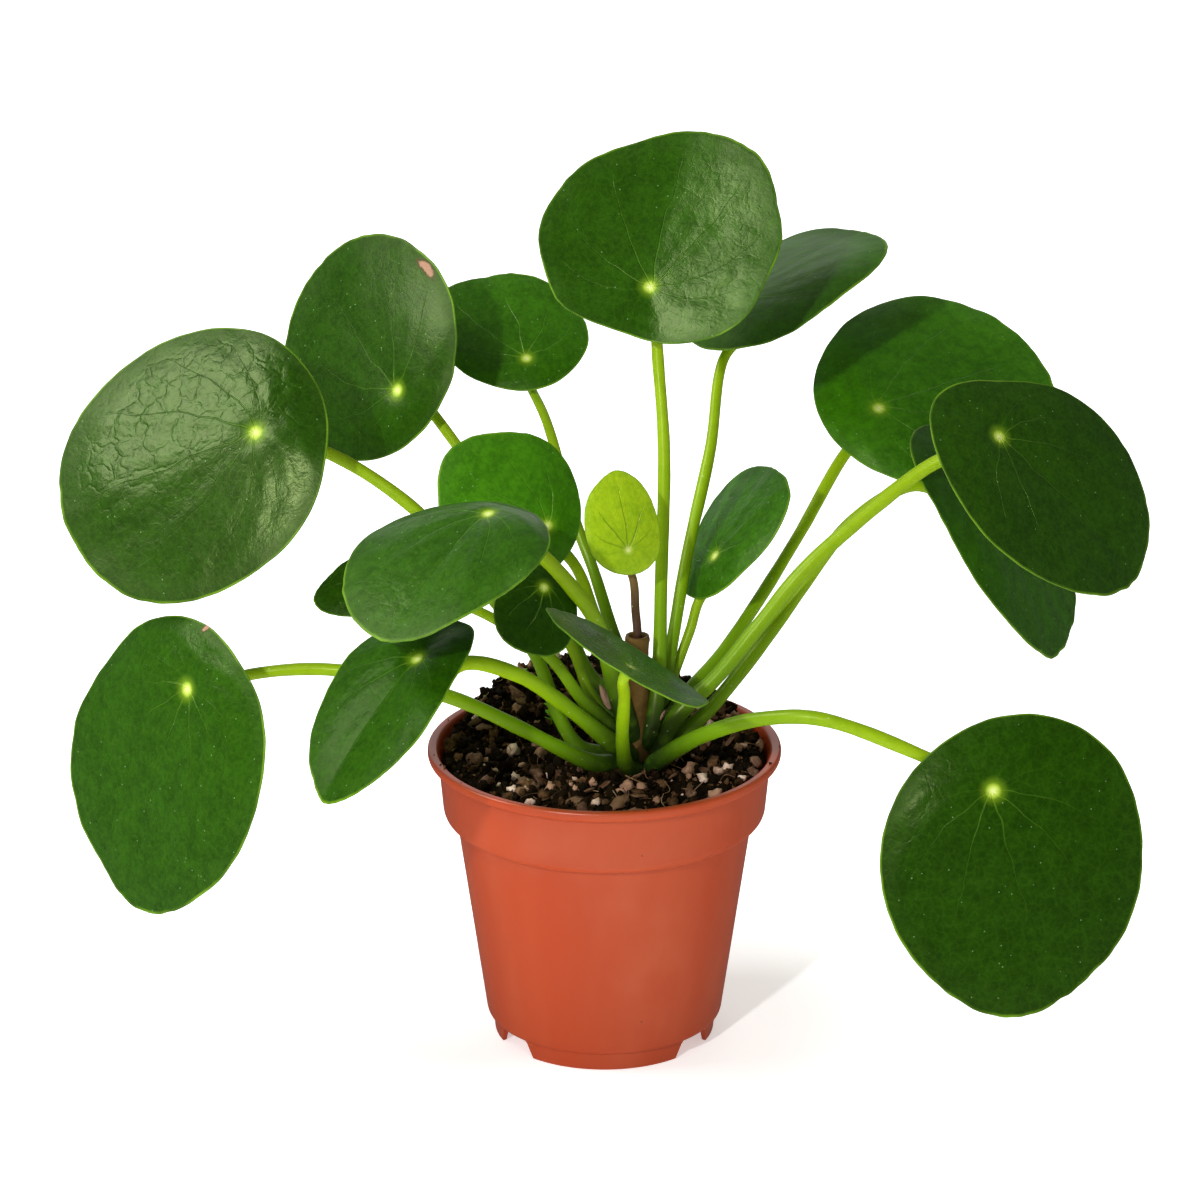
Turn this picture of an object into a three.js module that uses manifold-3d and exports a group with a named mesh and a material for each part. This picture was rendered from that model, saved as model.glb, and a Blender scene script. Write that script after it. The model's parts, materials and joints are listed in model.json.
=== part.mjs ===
// A pilea (money plant) in a 12 cm nursery pot.
// Millimetres, +Z up. The leaves open towards -Y, and +X is to their right. It is laid
// out about the pot's axis, then moved so that the origin is its middle on the ground.
// The plant is one cut-back stem with eighteen leaves. Each leaf is a round blade
// that its stalk meets from behind, about a quarter of the way from its base.
import * as THREE from 'three';
import { mergeVertices } from 'three/addons/utils/BufferGeometryUtils.js';
import Module from 'manifold-3d';

const wasm = await Module();
wasm.setup();

// ---- Driving dimensions -------------------------------------------------------------

const GAP = 0.3; // clearance between pieces that touch

const POT = {
  height: 104,
  lipRadius: 60, // widest radius, at the rolled lip
  lipHeight: 3.6,
  mouthRadius: 56.4, // inside of the lip
  collarTopRadius: 56.4,
  collarBaseRadius: 54.6,
  collarBase: 80.5, // height of the collar's lower edge
  bodyTopRadius: 50.5,
  bodyBaseRadius: 40.3,
  floorHeight: 7.4, // underside of the floor, on top of the feet
  footRadius: 37.6,
  footThickness: 1.6,
  wall: 1.3,
  segments: 60,
};
const NOTCH = { angles: [54, 126, 234, 306], topWidth: 13, baseWidth: 19 };
const DRAIN = { angles: [0, 90, 180, 270], radius: 4, distance: 24 };

const SOIL = {
  edge: 99.4, // level at the wall of the pot
  moundHeight: 17,
  mound: [-6, 38], // where the surface is highest
  moundSpread: [36, 22],
  segments: 40,
  rings: [50, 43, 35, 27, 18, 9],
};

const STEM = {
  at: [11, -11],
  radius: 3.8,
  crownRadius: 6.4, // where the lowest stalks join it
  crownTop: 113,
  crownBase: 104,
  top: 148,
  base: 93,
  flare: 0.3,
  hollowRadius: 2.6,
  hollowDepth: 2.2,
};

const BLADE = { thickness: 0.9, sectors: 26, bands: 8, stemSideEgg: 0.04, tipPoint: 0.1 };
const STALK = { sides: 8, steps: 12, leave: 3.6, leaveRise: 1, approach: [11, 5], bladeGap: 0.5 };

// Every leaf: the place of the pale spot where the stalk joins the blade, the way the
// blade faces (compass angle from +X), how far its face is tipped from level, and the
// turn of its tip from straight downhill, all in degrees. spot is the distance from
// the blade's base to the pale spot, as a share of its length. dome, fold and droop
// are the sag of the margin, of the two halves and of the tip, per unit of size.
// root is the stalk's compass angle and height on the stem, and via its bends; approach
// is how far behind the blade its last bends are. rim is how far the margin swells, in
// per cent: cosine and sine terms for no, one, two and more waves round the blade.
const LEAVES = [
  {
    name: 'far_left_upper', at: [-116, -5, 218], facing: -115, tilt: 55, turn: -61,
    length: 99, width: 93, spot: 0.24, egg: 0, point: -0.05, dome: 0.05, fold: 0.08, droop: 0.03,
    root: [172, 105.5], stalk: [2.4, 2],
    via: [[-8, -13, 108], [-15, -11, 118], [-23, -7, 139], [-36, 0, 155], [-63, 9, 185],
      [-93, 14, 204]],
    rim: [[0.6, 0], [0.5, -2], [-0.5, 2.1], [0.4, -0.8], [-1, -0.4], [0.4, -0.4]],
  },
  {
    name: 'left_upper_back', at: [-71, 50, 214], facing: -133, tilt: 65, turn: -119,
    length: 82, width: 78, spot: 0.21, egg: 0.03, dome: 0.05, fold: -0.04, droop: 0.04,
    root: [128, 120], stalk: [2.3, 1.8],
    via: [[-5, 4, 128], [-15, 14, 147], [-29, 26, 167], [-51, 47, 196]],
    rim: [[-1, 0], [2.7, 1.2], [1.1, -0.7], [-0.1, -0.1], [0, -0.1], [0, 0.1]],
  },
  {
    name: 'left_centre_back', at: [-27, 85, 214], facing: -90, tilt: 33, turn: -165,
    length: 53, width: 50, spot: 0.22, egg: 0.03, point: 0.13, dome: 0.05, droop: 0.03,
    root: [112, 131], stalk: [2.1, 1.5],
    via: [[3, 4, 143], [-4, 19, 161], [-9, 33, 170], [-20, 70, 196]],
    rim: [[2.7, 0], [2.9, 5.5], [-1, 6.2], [-2.1, -1.3], [-0.6, -1.3], [-0.9, -1], [0.4, -0.1]],
  },
  {
    name: 'top', at: [15, 25, 259], facing: -101, tilt: 47, turn: 175,
    length: 78, width: 84, spot: 0.23, egg: 0.1, point: -0.2, dome: -0.02, fold: -0.05,
    droop: 0.05, skew: -0.04,
    root: [332, 115], stalk: [2.4, 1.9],
    via: [[17.5, -11, 125], [18.5, -5, 138], [19, 2, 160], [20, 16, 204], [18, 28, 232]],
    rim: [[1.3, 0], [-6.5, -3.5], [4.7, 2.5], [-1.6, -4.4], [-1.3, 0.4], [2.3, -1], [-1.8, 0.2],
      [1.6, 0.1]],
  },
  {
    name: 'top_back', at: [46, 70, 240], facing: -167, tilt: 24, turn: -154,
    length: 79, width: 70, spot: 0.26, dome: 0.08, droop: 0.05,
    root: [32, 118], stalk: [2.3, 1.8],
    via: [[20, -3, 127], [23, 3, 141], [28, 18, 166], [36, 38, 197], [41, 61, 222]],
    rim: [[2.5, 0], [1.4, 3.3], [0.3, 4.6], [-2.6, -2.3], [-3.8, 1], [1, -0.7], [0.5, 0]],
  },
  {
    name: 'right_upper_back', at: [95, 76, 199], facing: -79, tilt: 33, turn: 111,
    length: 85, width: 82, spot: 0.23, point: -0.05, dome: 0.07, droop: 0.05,
    root: [46, 108.5], stalk: [2.4, 1.9],
    via: [[29, 5, 122], [39, 13, 131], [51, 26, 144], [67, 47, 163], [84, 70, 185]],
    rim: [[0.5, 0], [6, 3.4], [-1, 0.3], [-1.4, -0.2], [0.7, -1.3], [-0.4, 0.5]],
  },
  {
    name: 'right_upper', at: [132, 5, 213], facing: -49, tilt: 50, turn: 30,
    length: 90, width: 75, spot: 0.25, egg: 0.02, point: 0.2, dome: 0.06, fold: -0.13,
    droop: 0.03, skew: 0.02,
    root: [352, 110], stalk: [2.9, 2.3],
    via: [[25, -11, 120], [37, -8, 131], [52, -4, 149], [66, 0, 166], [86, 7, 183],
      [112, 14, 201]],
    rim: [[-0.2, 0], [1.3, 0.1], [1.3, 2.7], [-3.2, -2.5], [3.3, 1.1], [-1.9, -0.3]],
  },
  {
    name: 'right_middle', at: [126, 36, 187.3], facing: -24, tilt: 54, turn: -6,
    length: 92, width: 72, spot: 0.25, point: 0.2, dome: 0.06, fold: -0.08, droop: 0.03,
    root: [16, 104.6], stalk: [2.5, 2.1],
    via: [[26, -6, 110], [36, -1, 118], [56, 9, 141], [66, 15, 154], [84, 25, 175.5],
      [104, 33, 185.5]],
    rim: [[-2.2, 0], [-5.1, 5.7], [4.5, 5.7], [0.4, -3.8], [-2.3, 0.9], [1.5, -1.1]],
  },
  {
    name: 'centre_right_small', at: [37, 15, 167], facing: -158, tilt: 50, turn: -160,
    length: 53, width: 49, spot: 0.28, point: 0.15, dome: 0.05, droop: 0.03,
    root: [76, 113], stalk: [2, 1.5],
    via: [[20, 2, 119], [24, 3, 130], [29, 7, 143], [33, 13, 153]],
    rim: [[-2.4, 0], [2.1, 0.2], [2.1, -3.9], [-4.1, 5.9], [-0.5, -0.1], [0.1, -0.6]],
  },
  {
    name: 'centre_left_round', at: [-19, 0, 183], facing: -70, tilt: 70, turn: -125,
    length: 53, width: 51, spot: 0.22, dome: 0.05, droop: 0.03,
    root: [165, 128], stalk: [2.3, 1.8],
    via: [[2, -9, 141], [-3, -4, 152], [-10, 3, 168]],
    rim: [[-0.8, 0], [-0.8, 1], [0.7, -2.3], [-0.8, 0.4], [1.7, -1.9], [-0.4, -0.4]],
  },
  {
    name: 'front_left_large', at: [-38, -50, 206], facing: -131, tilt: 19, turn: 3,
    length: 76, width: 67, spot: 0.17, egg: 0.05, point: 0.2, dome: 0.08, fold: -0.1, droop: 0.06,
    root: [222, 121], stalk: [2.9, 2.4],
    via: [[3, -16, 134], [-2, -21, 155], [-11, -26, 171], [-24, -35, 188]],
    rim: [[-4.3, 0], [0.1, -4.4], [-1.4, -2.7], [0.7, 2.5], [1.6, 0.6], [-1.6, -0.3]],
  },
  {
    name: 'left_shaded', at: [-20, -24, 170], facing: -70, tilt: 55, turn: -30,
    length: 32, width: 28, spot: 0.25, dome: 0.05, droop: 0.03,
    root: [177, 117.4], stalk: [1.9, 1.5],
    via: [[-4, -9, 125], [-11, -10, 143]],
    rim: [[1.4, 0], [0.4, 2.2], [-2.6, 1.2], [-2.6, -0.7], [-0.6, -0.8]],
  },
  {
    name: 'far_left_low', at: [-139, -35, 138], facing: -136, tilt: 77, turn: -17,
    length: 105, width: 95, spot: 0.2, egg: 0.07, dome: 0.06, fold: -0.06,
    droop: 0.05, skew: -0.06,
    root: [214, 104.6], stalk: [2.7, 1.9],
    via: [[-4, -21, 106], [-15, -24, 112.5], [-28, -26, 120.5], [-51, -27, 132],
      [-89, -20, 139], [-118, -16, 136]],
    rim: [[-1.2, 0], [0.9, -0.5], [1.5, 1.5], [-0.9, -1], [0.1, 0.3], [0.5, 0.5]],
  },
  {
    name: 'front_left_low', at: [-61, -70, 163], facing: -138, tilt: 33, turn: 2,
    length: 76, width: 50, spot: 0.26, point: 0.35, dome: 0.08, fold: -0.27, droop: 0.07, skew: 0.07,
    root: [240, 109.4], stalk: [2.8, 2.3],
    via: [[2, -22, 114], [-15, -31, 132.3], [-28, -41, 145.3], [-45, -54, 155]],
    rim: [[0.8, 0], [-1.7, -2.5], [2.1, 3.1], [-2.2, 0.8], [1.1, -1.2], [-0.5, 1.3]],
  },
  {
    name: 'front_edge_on', at: [8.6, -68, 159.7], facing: 16, tilt: 31, turn: 150,
    length: 61, width: 49, spot: 0.46, point: 0.197, dome: -0.039, droop: -0.019, fold: 0.067, skew: -0.016,
    root: [266, 104.4], stalk: [2.4, 1.8],
    approach: [4.5], via: [[7.5, -23, 105.5], [6, -32, 118], [6.5, -50, 141]],
    rim: [[1.3, 0], [0.2, -1.5], [-0.3, -1.1], [-0.5, -1.6], [-1.2, 1], [0.9, 2.3]],
  },
  {
    name: 'right_low', at: [128, -60, 112], facing: -84, tilt: 72, turn: 13,
    length: 103, width: 88, spot: 0.25, point: 0.05, dome: 0.05, droop: 0.04,
    root: [310, 104.6], stalk: [2.8, 2],
    via: [[27, -26, 115], [38, -33, 123], [51, -39, 129], [71, -46, 132], [105, -49, 120]],
    rim: [[-2.6, 0], [3.2, 4.2], [-4.5, -6.2], [2.3, 1.5], [-0.8, -0.9], [0.2, -0.6]],
  },
  {
    name: 'left_small_hidden', at: [-72, -10, 168], facing: -110, tilt: 45, turn: -75,
    length: 40, width: 24, spot: 0.3, dome: 0.05, droop: 0.03,
    root: [205, 113.5], stalk: [2.3, 1.4],
    via: [[0, -15, 119], [-7, -18, 127], [-18, -19, 143], [-30, -17, 152], [-48, -13, 160]],
    rim: [[-2.6, 0], [-3.4, 3.9], [-0.9, 4], [-0.1, 2.3], [0, 1], [0.1, 0.1], [-0.1, -0.2]],
  },
  {
    name: 'youngest', at: [8, -15, 180], facing: -70, tilt: 72, turn: 184,
    length: 36, width: 27, spot: 0.24, egg: 0.08, point: 0.15, dome: 0.06, droop: 0.02,
    root: 'top', stalk: [1.5, 1.3], via: [[10.4, -9.5, 156], [9.4, -9, 168]],
    rim: [[-1.7, 0], [-2.6, -2], [1.5, 2.5], [0.4, -3], [-1.3, 0.6], [0.7, -0.6]],
  },
];

// Dry papery scales left by old leaves, and weeds that have come up in the soil.
const SCALE_BOW = 0.8;
const SCALES = [
  { at: [2.2, -12.4, 121.5], size: [1.7, 0.35, 5], lean: -22, turn: 10 },
  { at: [14, -15.7, 111.3], size: [1.3, 0.35, 6.5], lean: 32, turn: 12 },
];
const SEEDLINGS = [
  { at: [-29, 33], height: 6, pairs: 3 },
  { at: [-18, 8], height: 7, pairs: 2 },
];

// ---- Helpers ----------------------------------------------------------------------

const radians = THREE.MathUtils.degToRad;

// A closed geometry with shared vertices, as a solid for cutting.
function solid(geometry) {
  const bare = geometry.clone();
  bare.deleteAttribute('normal');
  bare.deleteAttribute('uv');
  const merged = mergeVertices(bare, 1e-4);
  const vertProperties = Float32Array.from(merged.attributes.position.array);
  const triVerts = Uint32Array.from(merged.index.array);
  return new wasm.Manifold(new wasm.Mesh({ numProp: 3, vertProperties, triVerts }));
}

function geometryOf(manifold) {
  const mesh = manifold.getMesh();
  const geometry = new THREE.BufferGeometry();
  geometry.setAttribute('position', new THREE.BufferAttribute(mesh.vertProperties, 3));
  geometry.setIndex(new THREE.BufferAttribute(mesh.triVerts, 1));
  geometry.computeVertexNormals();
  return geometry;
}

// Turns a profile of [radius, height] pairs about the Z axis.
function lathe(profile, segments) {
  const points = profile.map(([r, z]) => new THREE.Vector2(r, z));
  return new THREE.LatheGeometry(points, segments).rotateX(Math.PI / 2);
}

function material(colour, roughness) {
  return new THREE.MeshStandardMaterial({ color: colour, roughness, metalness: 0 });
}

function piece(name, geometry, finish) {
  const mesh = new THREE.Mesh(geometry, finish);
  mesh.name = name;
  return mesh;
}

const FINISH = {
  terracotta: material(0xbe4e2c, 0.45),
  soil: material(0x2a1b12, 0.95),
  bark: material(0x5a3c19, 0.7),
  leaf: material(0x2f6b14, 0.35),
  youngLeaf: material(0x96b40f, 0.4),
  stalk: material(0x82a01a, 0.4),
  dry: material(0xb08a6a, 0.8),
  weed: material(0x4f8c1e, 0.6),
};

// ---- Pot ------------------------------------------------------------------------------

function potProfile() {
  const { height, lipRadius, lipHeight, wall } = POT;
  const lipBase = height - lipHeight;
  const floorTop = POT.floorHeight + wall;
  return [
    [0, POT.floorHeight],
    [POT.footRadius - POT.footThickness, POT.floorHeight],
    [POT.footRadius - POT.footThickness, 0],
    [POT.footRadius, 0],
    [POT.footRadius + 0.5, POT.floorHeight - 1],
    [POT.bodyBaseRadius - 0.6, POT.floorHeight],
    [POT.bodyBaseRadius, POT.floorHeight + 1],
    [POT.bodyTopRadius, POT.collarBase - 1.5],
    [POT.collarBaseRadius - 1, POT.collarBase - 0.6],
    [POT.collarBaseRadius, POT.collarBase + 0.6],
    [POT.collarTopRadius, lipBase - 1],
    [lipRadius - 1.2, lipBase],
    [lipRadius, lipBase + 1.2],
    [lipRadius, height - 1.2],
    [lipRadius - 1.2, height],
    [POT.mouthRadius + 0.6, height],
    [POT.mouthRadius, height - 0.6],
    [POT.collarTopRadius - wall, lipBase - 1.5],
    [POT.collarBaseRadius - wall, POT.collarBase + 1.5],
    [POT.bodyTopRadius - wall, POT.collarBase],
    [POT.bodyBaseRadius - wall, floorTop + 1.5],
    [POT.bodyBaseRadius - wall - 2, floorTop],
    [0, floorTop],
  ];
}

// A wedge that is wider at the ground, pointing out along an angle.
function notchCutter(angle) {
  const shape = new THREE.Shape();
  shape.moveTo(-NOTCH.baseWidth / 2, -1);
  shape.lineTo(NOTCH.baseWidth / 2, -1);
  shape.lineTo(NOTCH.topWidth / 2, POT.floorHeight - 1);
  shape.lineTo(-NOTCH.topWidth / 2, POT.floorHeight - 1);
  const reach = 12;
  const cutter = new THREE.ExtrudeGeometry(shape, { depth: reach, bevelEnabled: false });
  cutter.rotateX(Math.PI / 2).translate(0, reach - POT.footRadius - 4, 0);
  return solid(cutter.rotateZ(radians(angle)));
}

function drainCutter(angle) {
  const hole = new THREE.CylinderGeometry(DRAIN.radius, DRAIN.radius, 8, 16).rotateX(Math.PI / 2);
  hole.translate(0, -DRAIN.distance, POT.floorHeight);
  return solid(hole.rotateZ(radians(angle)));
}

function pot() {
  let body = solid(lathe(potProfile(), POT.segments));
  for (const angle of NOTCH.angles) body = body.subtract(notchCutter(angle));
  for (const angle of DRAIN.angles) body = body.subtract(drainCutter(angle));
  return geometryOf(body);
}

// ---- Soil -----------------------------------------------------------------------------

function soilLevel(x, y) {
  const [spreadX, spreadY] = SOIL.moundSpread;
  const away = Math.hypot((x - SOIL.mound[0]) / spreadX, (y - SOIL.mound[1]) / spreadY);
  const edge = 1 - Math.pow(Math.hypot(x, y) / POT.mouthRadius, 14);
  return SOIL.edge + SOIL.moundHeight * Math.exp(-away * away / 2) * Math.max(edge, 0);
}

function soil() {
  const inside = POT.wall + GAP;
  const base = POT.floorHeight + POT.wall + GAP;
  const profile = [
    [0, base],
    [POT.bodyBaseRadius - inside - 2.2, base],
    [POT.bodyBaseRadius - inside, base + 1.6],
    [POT.bodyTopRadius - inside, POT.collarBase],
    [POT.collarBaseRadius - inside, POT.collarBase + 2],
    [POT.collarTopRadius - inside - 0.4, SOIL.edge - 0.8],
    ...SOIL.rings.map((r) => [r, SOIL.edge]),
    [0, SOIL.edge],
  ];
  const geometry = lathe(profile, SOIL.segments);
  const place = geometry.attributes.position;
  for (let i = 0; i < place.count; i++) {
    if (place.getZ(i) > SOIL.edge - 0.1) place.setZ(i, soilLevel(place.getX(i), place.getY(i)));
  }
  const pocketRadius = STEM.crownRadius + GAP;
  const pocket = new THREE.CylinderGeometry(pocketRadius, pocketRadius, 40, 20);
  pocket.rotateX(Math.PI / 2).translate(...STEM.at, STEM.base - GAP + 20);
  return geometryOf(solid(geometry).subtract(solid(pocket)));
}

// ---- Stem -----------------------------------------------------------------------------

function stem() {
  const { radius, crownRadius, crownBase, crownTop, top, base } = STEM;
  const { flare, hollowRadius, hollowDepth } = STEM;
  const profile = [
    [0, base],
    [crownRadius - 1, base],
    [crownRadius, base + 1],
    [crownRadius, crownBase],
    [radius, crownTop],
    [radius, top - 12],
    [radius + flare, top - 1],
    [radius + flare - 0.3, top],
    [hollowRadius, top],
    [hollowRadius - 0.5, top - hollowDepth],
    [0, top - hollowDepth - 0.3],
  ];
  return lathe(profile, 20).translate(...STEM.at, 0);
}

// ---- Leaves -----------------------------------------------------------------------------

// The blade's own axes: towards its tip, towards its left edge, and out of its face.
function bladeAxes({ facing, tilt, turn }) {
  const [a, t, w] = [radians(facing), radians(tilt), radians(turn)];
  const face = new THREE.Vector3(Math.cos(a) * Math.sin(t), Math.sin(a) * Math.sin(t), Math.cos(t));
  const downhill = new THREE.Vector3(Math.cos(a) * Math.cos(t), Math.sin(a) * Math.cos(t), -Math.sin(t));
  const tip = downhill.applyAxisAngle(face, w);
  return { tip, side: face.clone().cross(tip), face };
}

// A flattened ball whose poles are the two sides of the pale spot and whose equator
// is the blade's margin, mapped to the leaf's outline and then sagged.
function blade(leaf) {
  const { length, width, spot, dome, droop } = leaf;
  const { egg = BLADE.stemSideEgg, point = BLADE.tipPoint, fold = 0, skew = 0, rim = [] } = leaf;
  const { tip, side, face } = bladeAxes(leaf);
  const ball = new THREE.SphereGeometry(1, BLADE.sectors, BLADE.bands).rotateX(Math.PI / 2);
  const place = ball.attributes.position;
  const v = new THREE.Vector3();
  for (let i = 0; i < place.count; i++) {
    v.fromBufferAttribute(place, i);
    const reach = Math.min(Math.hypot(v.x, v.y), 1);
    const angle = Math.atan2(v.y, v.x);
    const [c, s] = [Math.cos(angle), Math.sin(angle)];
    const rimAlong = length * (c / 2 + 0.5 - spot + skew * s * Math.abs(s));
    const rimAcross = (width / 2) * s * (1 - egg * c) * (1 - point * Math.max(c, 0) ** 6);
    const swell = rim.reduce(
      (sum, [cosine, sine], k) => sum + (cosine * Math.cos(k * angle) + sine * Math.sin(k * angle)) / 100, 1,
    );
    const along = reach * rimAlong * swell;
    const across = reach * rimAcross * swell;
    const sag = dome * length * reach ** 2 + fold * Math.abs(across)
      + droop * length * (Math.max(along, 0) / length) ** 2;
    const skin = (BLADE.thickness / 2) * Math.sign(v.z) * Math.sqrt(Math.abs(v.z));
    const out = (Math.abs(v.z) < 1e-6 ? 0 : skin) - BLADE.thickness / 2 - sag;
    v.set(...leaf.at).addScaledVector(tip, along).addScaledVector(side, across);
    v.addScaledVector(face, out);
    place.setXYZ(i, v.x, v.y, v.z);
  }
  ball.computeVertexNormals();
  return ball;
}

// Where a stalk starts: level out of the stem's side, or up out of its cut top.
function stalkStart(leaf) {
  const { at, radius, crownRadius, crownBase, crownTop, top, hollowDepth } = STEM;
  if (leaf.root === 'top') {
    return [0, 2, 4].map((rise) => new THREE.Vector3(...at, top - hollowDepth + GAP + rise));
  }
  const [angle, height] = [radians(leaf.root[0]), leaf.root[1]];
  const lowest = height - leaf.stalk[0];
  const up = THREE.MathUtils.clamp((lowest - crownBase) / (crownTop - crownBase), 0, 1);
  const clear = THREE.MathUtils.lerp(crownRadius, radius, up) + GAP;
  return [[0, 0], [0.5, 0], [1, STALK.leaveRise]].map(([share, rise]) => {
    const distance = clear + share * STALK.leave;
    return new THREE.Vector3(
      at[0] + distance * Math.cos(angle), at[1] + distance * Math.sin(angle), height + rise,
    );
  });
}

// The stalk bends through its own points and meets the blade square from behind.
function stalkPath(leaf) {
  const { face } = bladeAxes(leaf);
  const behind = (distance) => new THREE.Vector3(...leaf.at).addScaledVector(face, -distance);
  return new THREE.CatmullRomCurve3([
    ...stalkStart(leaf),
    ...leaf.via.map((p) => new THREE.Vector3(...p)),
    ...(leaf.approach ?? STALK.approach).map(behind),
    behind(BLADE.thickness + STALK.bladeGap),
  ]);
}

// A round tube along the path, thicker at the stem than at the blade.
function stalk(leaf) {
  const { sides, steps } = STALK;
  const path = stalkPath(leaf);
  const corners = [];
  for (let i = 0; i < sides; i++) {
    const a = (2 * Math.PI * i) / sides;
    corners.push(new THREE.Vector2(Math.cos(a), Math.sin(a)));
  }
  const tube = new THREE.ExtrudeGeometry(new THREE.Shape(corners), {
    steps, bevelEnabled: false, extrudePath: path,
  });
  const centres = path.getSpacedPoints(steps);
  const place = tube.attributes.position;
  const v = new THREE.Vector3();
  for (let i = 0; i < place.count; i++) {
    v.fromBufferAttribute(place, i);
    const near = centres.map((p) => p.distanceTo(v));
    const step = near.indexOf(Math.min(...near));
    const radius = THREE.MathUtils.lerp(...leaf.stalk, step / steps);
    v.sub(centres[step]).multiplyScalar(radius).add(centres[step]);
    place.setXYZ(i, v.x, v.y, v.z);
  }
  return tube;
}

// ---- Dry scales and weed seedlings ------------------------------------------------------

// A thin curved flake, standing on its end and leaning.
function scale({ at, size, lean, turn }) {
  const flake = new THREE.SphereGeometry(1, 10, 8);
  const place = flake.attributes.position;
  for (let i = 0; i < place.count; i++) {
    const [x, y, z] = [place.getX(i), place.getY(i), place.getZ(i)];
    const bow = SCALE_BOW * (x * x + z * z);
    place.setXYZ(i, x * size[0], y * size[1] + bow, (z + 1) * size[2]);
  }
  flake.rotateY(radians(lean)).rotateZ(radians(turn)).translate(...at);
  return flake;
}

// A short upright stem with pairs of tiny leaflets.
function seedling({ at, height, pairs }) {
  const twig = new THREE.CylinderGeometry(0.35, 0.45, height, 6).rotateX(Math.PI / 2);
  let plantlet = solid(twig.translate(0, 0, height / 2));
  for (let pair = 0; pair < pairs; pair++) {
    for (const side of [-1, 1]) {
      const leaflet = new THREE.SphereGeometry(1, 8, 6).scale(1.9, 1, 0.3);
      leaflet.rotateY(radians(-25 * side)).translate(1.9 * side, 0, 0);
      leaflet.rotateZ(radians(70 * pair)).translate(0, 0, height - 0.4 - 1.9 * pair);
      plantlet = plantlet.add(solid(leaflet));
    }
  }
  const [x, y] = at;
  return geometryOf(plantlet).translate(x, y, soilLevel(x, y) + GAP);
}

// ---- Assembly ---------------------------------------------------------------------------

const plant = new THREE.Group();
plant.add(piece('pot', pot(), FINISH.terracotta));
plant.add(piece('potting_soil', soil(), FINISH.soil));
plant.add(piece('main_stem', stem(), FINISH.bark));
for (const leaf of LEAVES) {
  const young = leaf.name === 'youngest';
  plant.add(piece(`blade_${leaf.name}`, blade(leaf), young ? FINISH.youngLeaf : FINISH.leaf));
  plant.add(piece(`stalk_${leaf.name}`, stalk(leaf), young ? FINISH.bark : FINISH.stalk));
}

SCALES.forEach((flake, i) => plant.add(piece(`dry_scale_${i + 1}`, scale(flake), FINISH.dry)));
SEEDLINGS.forEach((weed, i) => {
  plant.add(piece(`weed_seedling_${i + 1}`, seedling(weed), FINISH.weed));
});

const box = new THREE.Box3().setFromObject(plant);
const middle = box.getCenter(new THREE.Vector3());
for (const mesh of plant.children) mesh.geometry.translate(-middle.x, -middle.y, -box.min.z);

export default plant;
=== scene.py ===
"""A round-leaved pilea in a plastic nursery pot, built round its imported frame."""

import json
import math
import random

import bmesh
import bpy
from mathutils import Matrix, Vector, noise

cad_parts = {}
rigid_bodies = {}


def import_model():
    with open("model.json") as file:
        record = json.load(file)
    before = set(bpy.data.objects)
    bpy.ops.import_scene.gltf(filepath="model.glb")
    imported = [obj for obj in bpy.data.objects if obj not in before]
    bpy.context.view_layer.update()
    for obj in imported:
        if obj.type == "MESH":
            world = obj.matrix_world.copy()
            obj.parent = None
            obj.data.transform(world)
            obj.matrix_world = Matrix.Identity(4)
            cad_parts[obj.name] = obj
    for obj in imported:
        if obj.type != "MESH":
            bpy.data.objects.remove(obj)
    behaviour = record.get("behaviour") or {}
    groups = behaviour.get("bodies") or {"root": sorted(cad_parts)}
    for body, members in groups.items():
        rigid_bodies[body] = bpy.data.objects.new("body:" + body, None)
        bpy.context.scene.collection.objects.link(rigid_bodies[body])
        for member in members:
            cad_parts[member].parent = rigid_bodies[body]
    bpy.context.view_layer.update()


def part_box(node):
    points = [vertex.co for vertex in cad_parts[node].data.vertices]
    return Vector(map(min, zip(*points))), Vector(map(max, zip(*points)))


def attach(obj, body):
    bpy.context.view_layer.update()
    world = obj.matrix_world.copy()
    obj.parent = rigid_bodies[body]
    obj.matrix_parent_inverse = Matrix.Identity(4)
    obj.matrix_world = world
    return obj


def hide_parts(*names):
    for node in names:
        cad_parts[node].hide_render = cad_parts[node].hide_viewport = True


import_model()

bl_info = {
    "name": "Potted Pilea",
    "version": (1, 0, 0),
    "blender": (4, 5, 0),
    "location": "3D View > Sidebar > Pilea",
    "description": "Builds a round-leaved pilea in a plastic nursery pot",
    "category": "Add Mesh",
}

MM = 0.001
POT_LOW, POT_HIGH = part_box("pot")
AXIS = ((POT_LOW.x + POT_HIGH.x) / 2, (POT_LOW.y + POT_HIGH.y) / 2)

# Pot sizes in millimetres: (radius, height, fillet) down the outside and up the inside.
POT_PROFILE = [
    (0, 7.4, 0), (36, 7.4, 0.5), (36, 0, 0.3), (37.6, 0, 0.5), (38.3, 6.3, 0.2),
    (39.6, 6.9, 0.5), (40.3, 8.2, 0.8), (50.4, 78.9, 0.4), (53.4, 79.6, 0.5),
    (54.7, 81.2, 1.6), (56.4, 99.4, 0.5), (57.8, 100.2, 0.5), (59.3, 100.5, 0.6),
    (60, 101.6, 0.7), (60, 103.3, 0.6), (59.3, 104, 0.5), (57.2, 103.8, 0.5),
    (56.3, 102.9, 0.6), (55.2, 98.9, 1.2), (53.3, 82, 1.0), (49.2, 80.5, 0.8),
    (39.0, 10.2, 1.0), (37.0, 8.7, 1.0), (0, 8.7, 0),
]
POT_FLOOR = 8
SHARP = math.radians(32)
NOTCH_ANGLES = (-36, 36, 144, 216)
NOTCH_WIDTHS = (13, 19)
NOTCH_HEIGHT = 6.4
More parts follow.
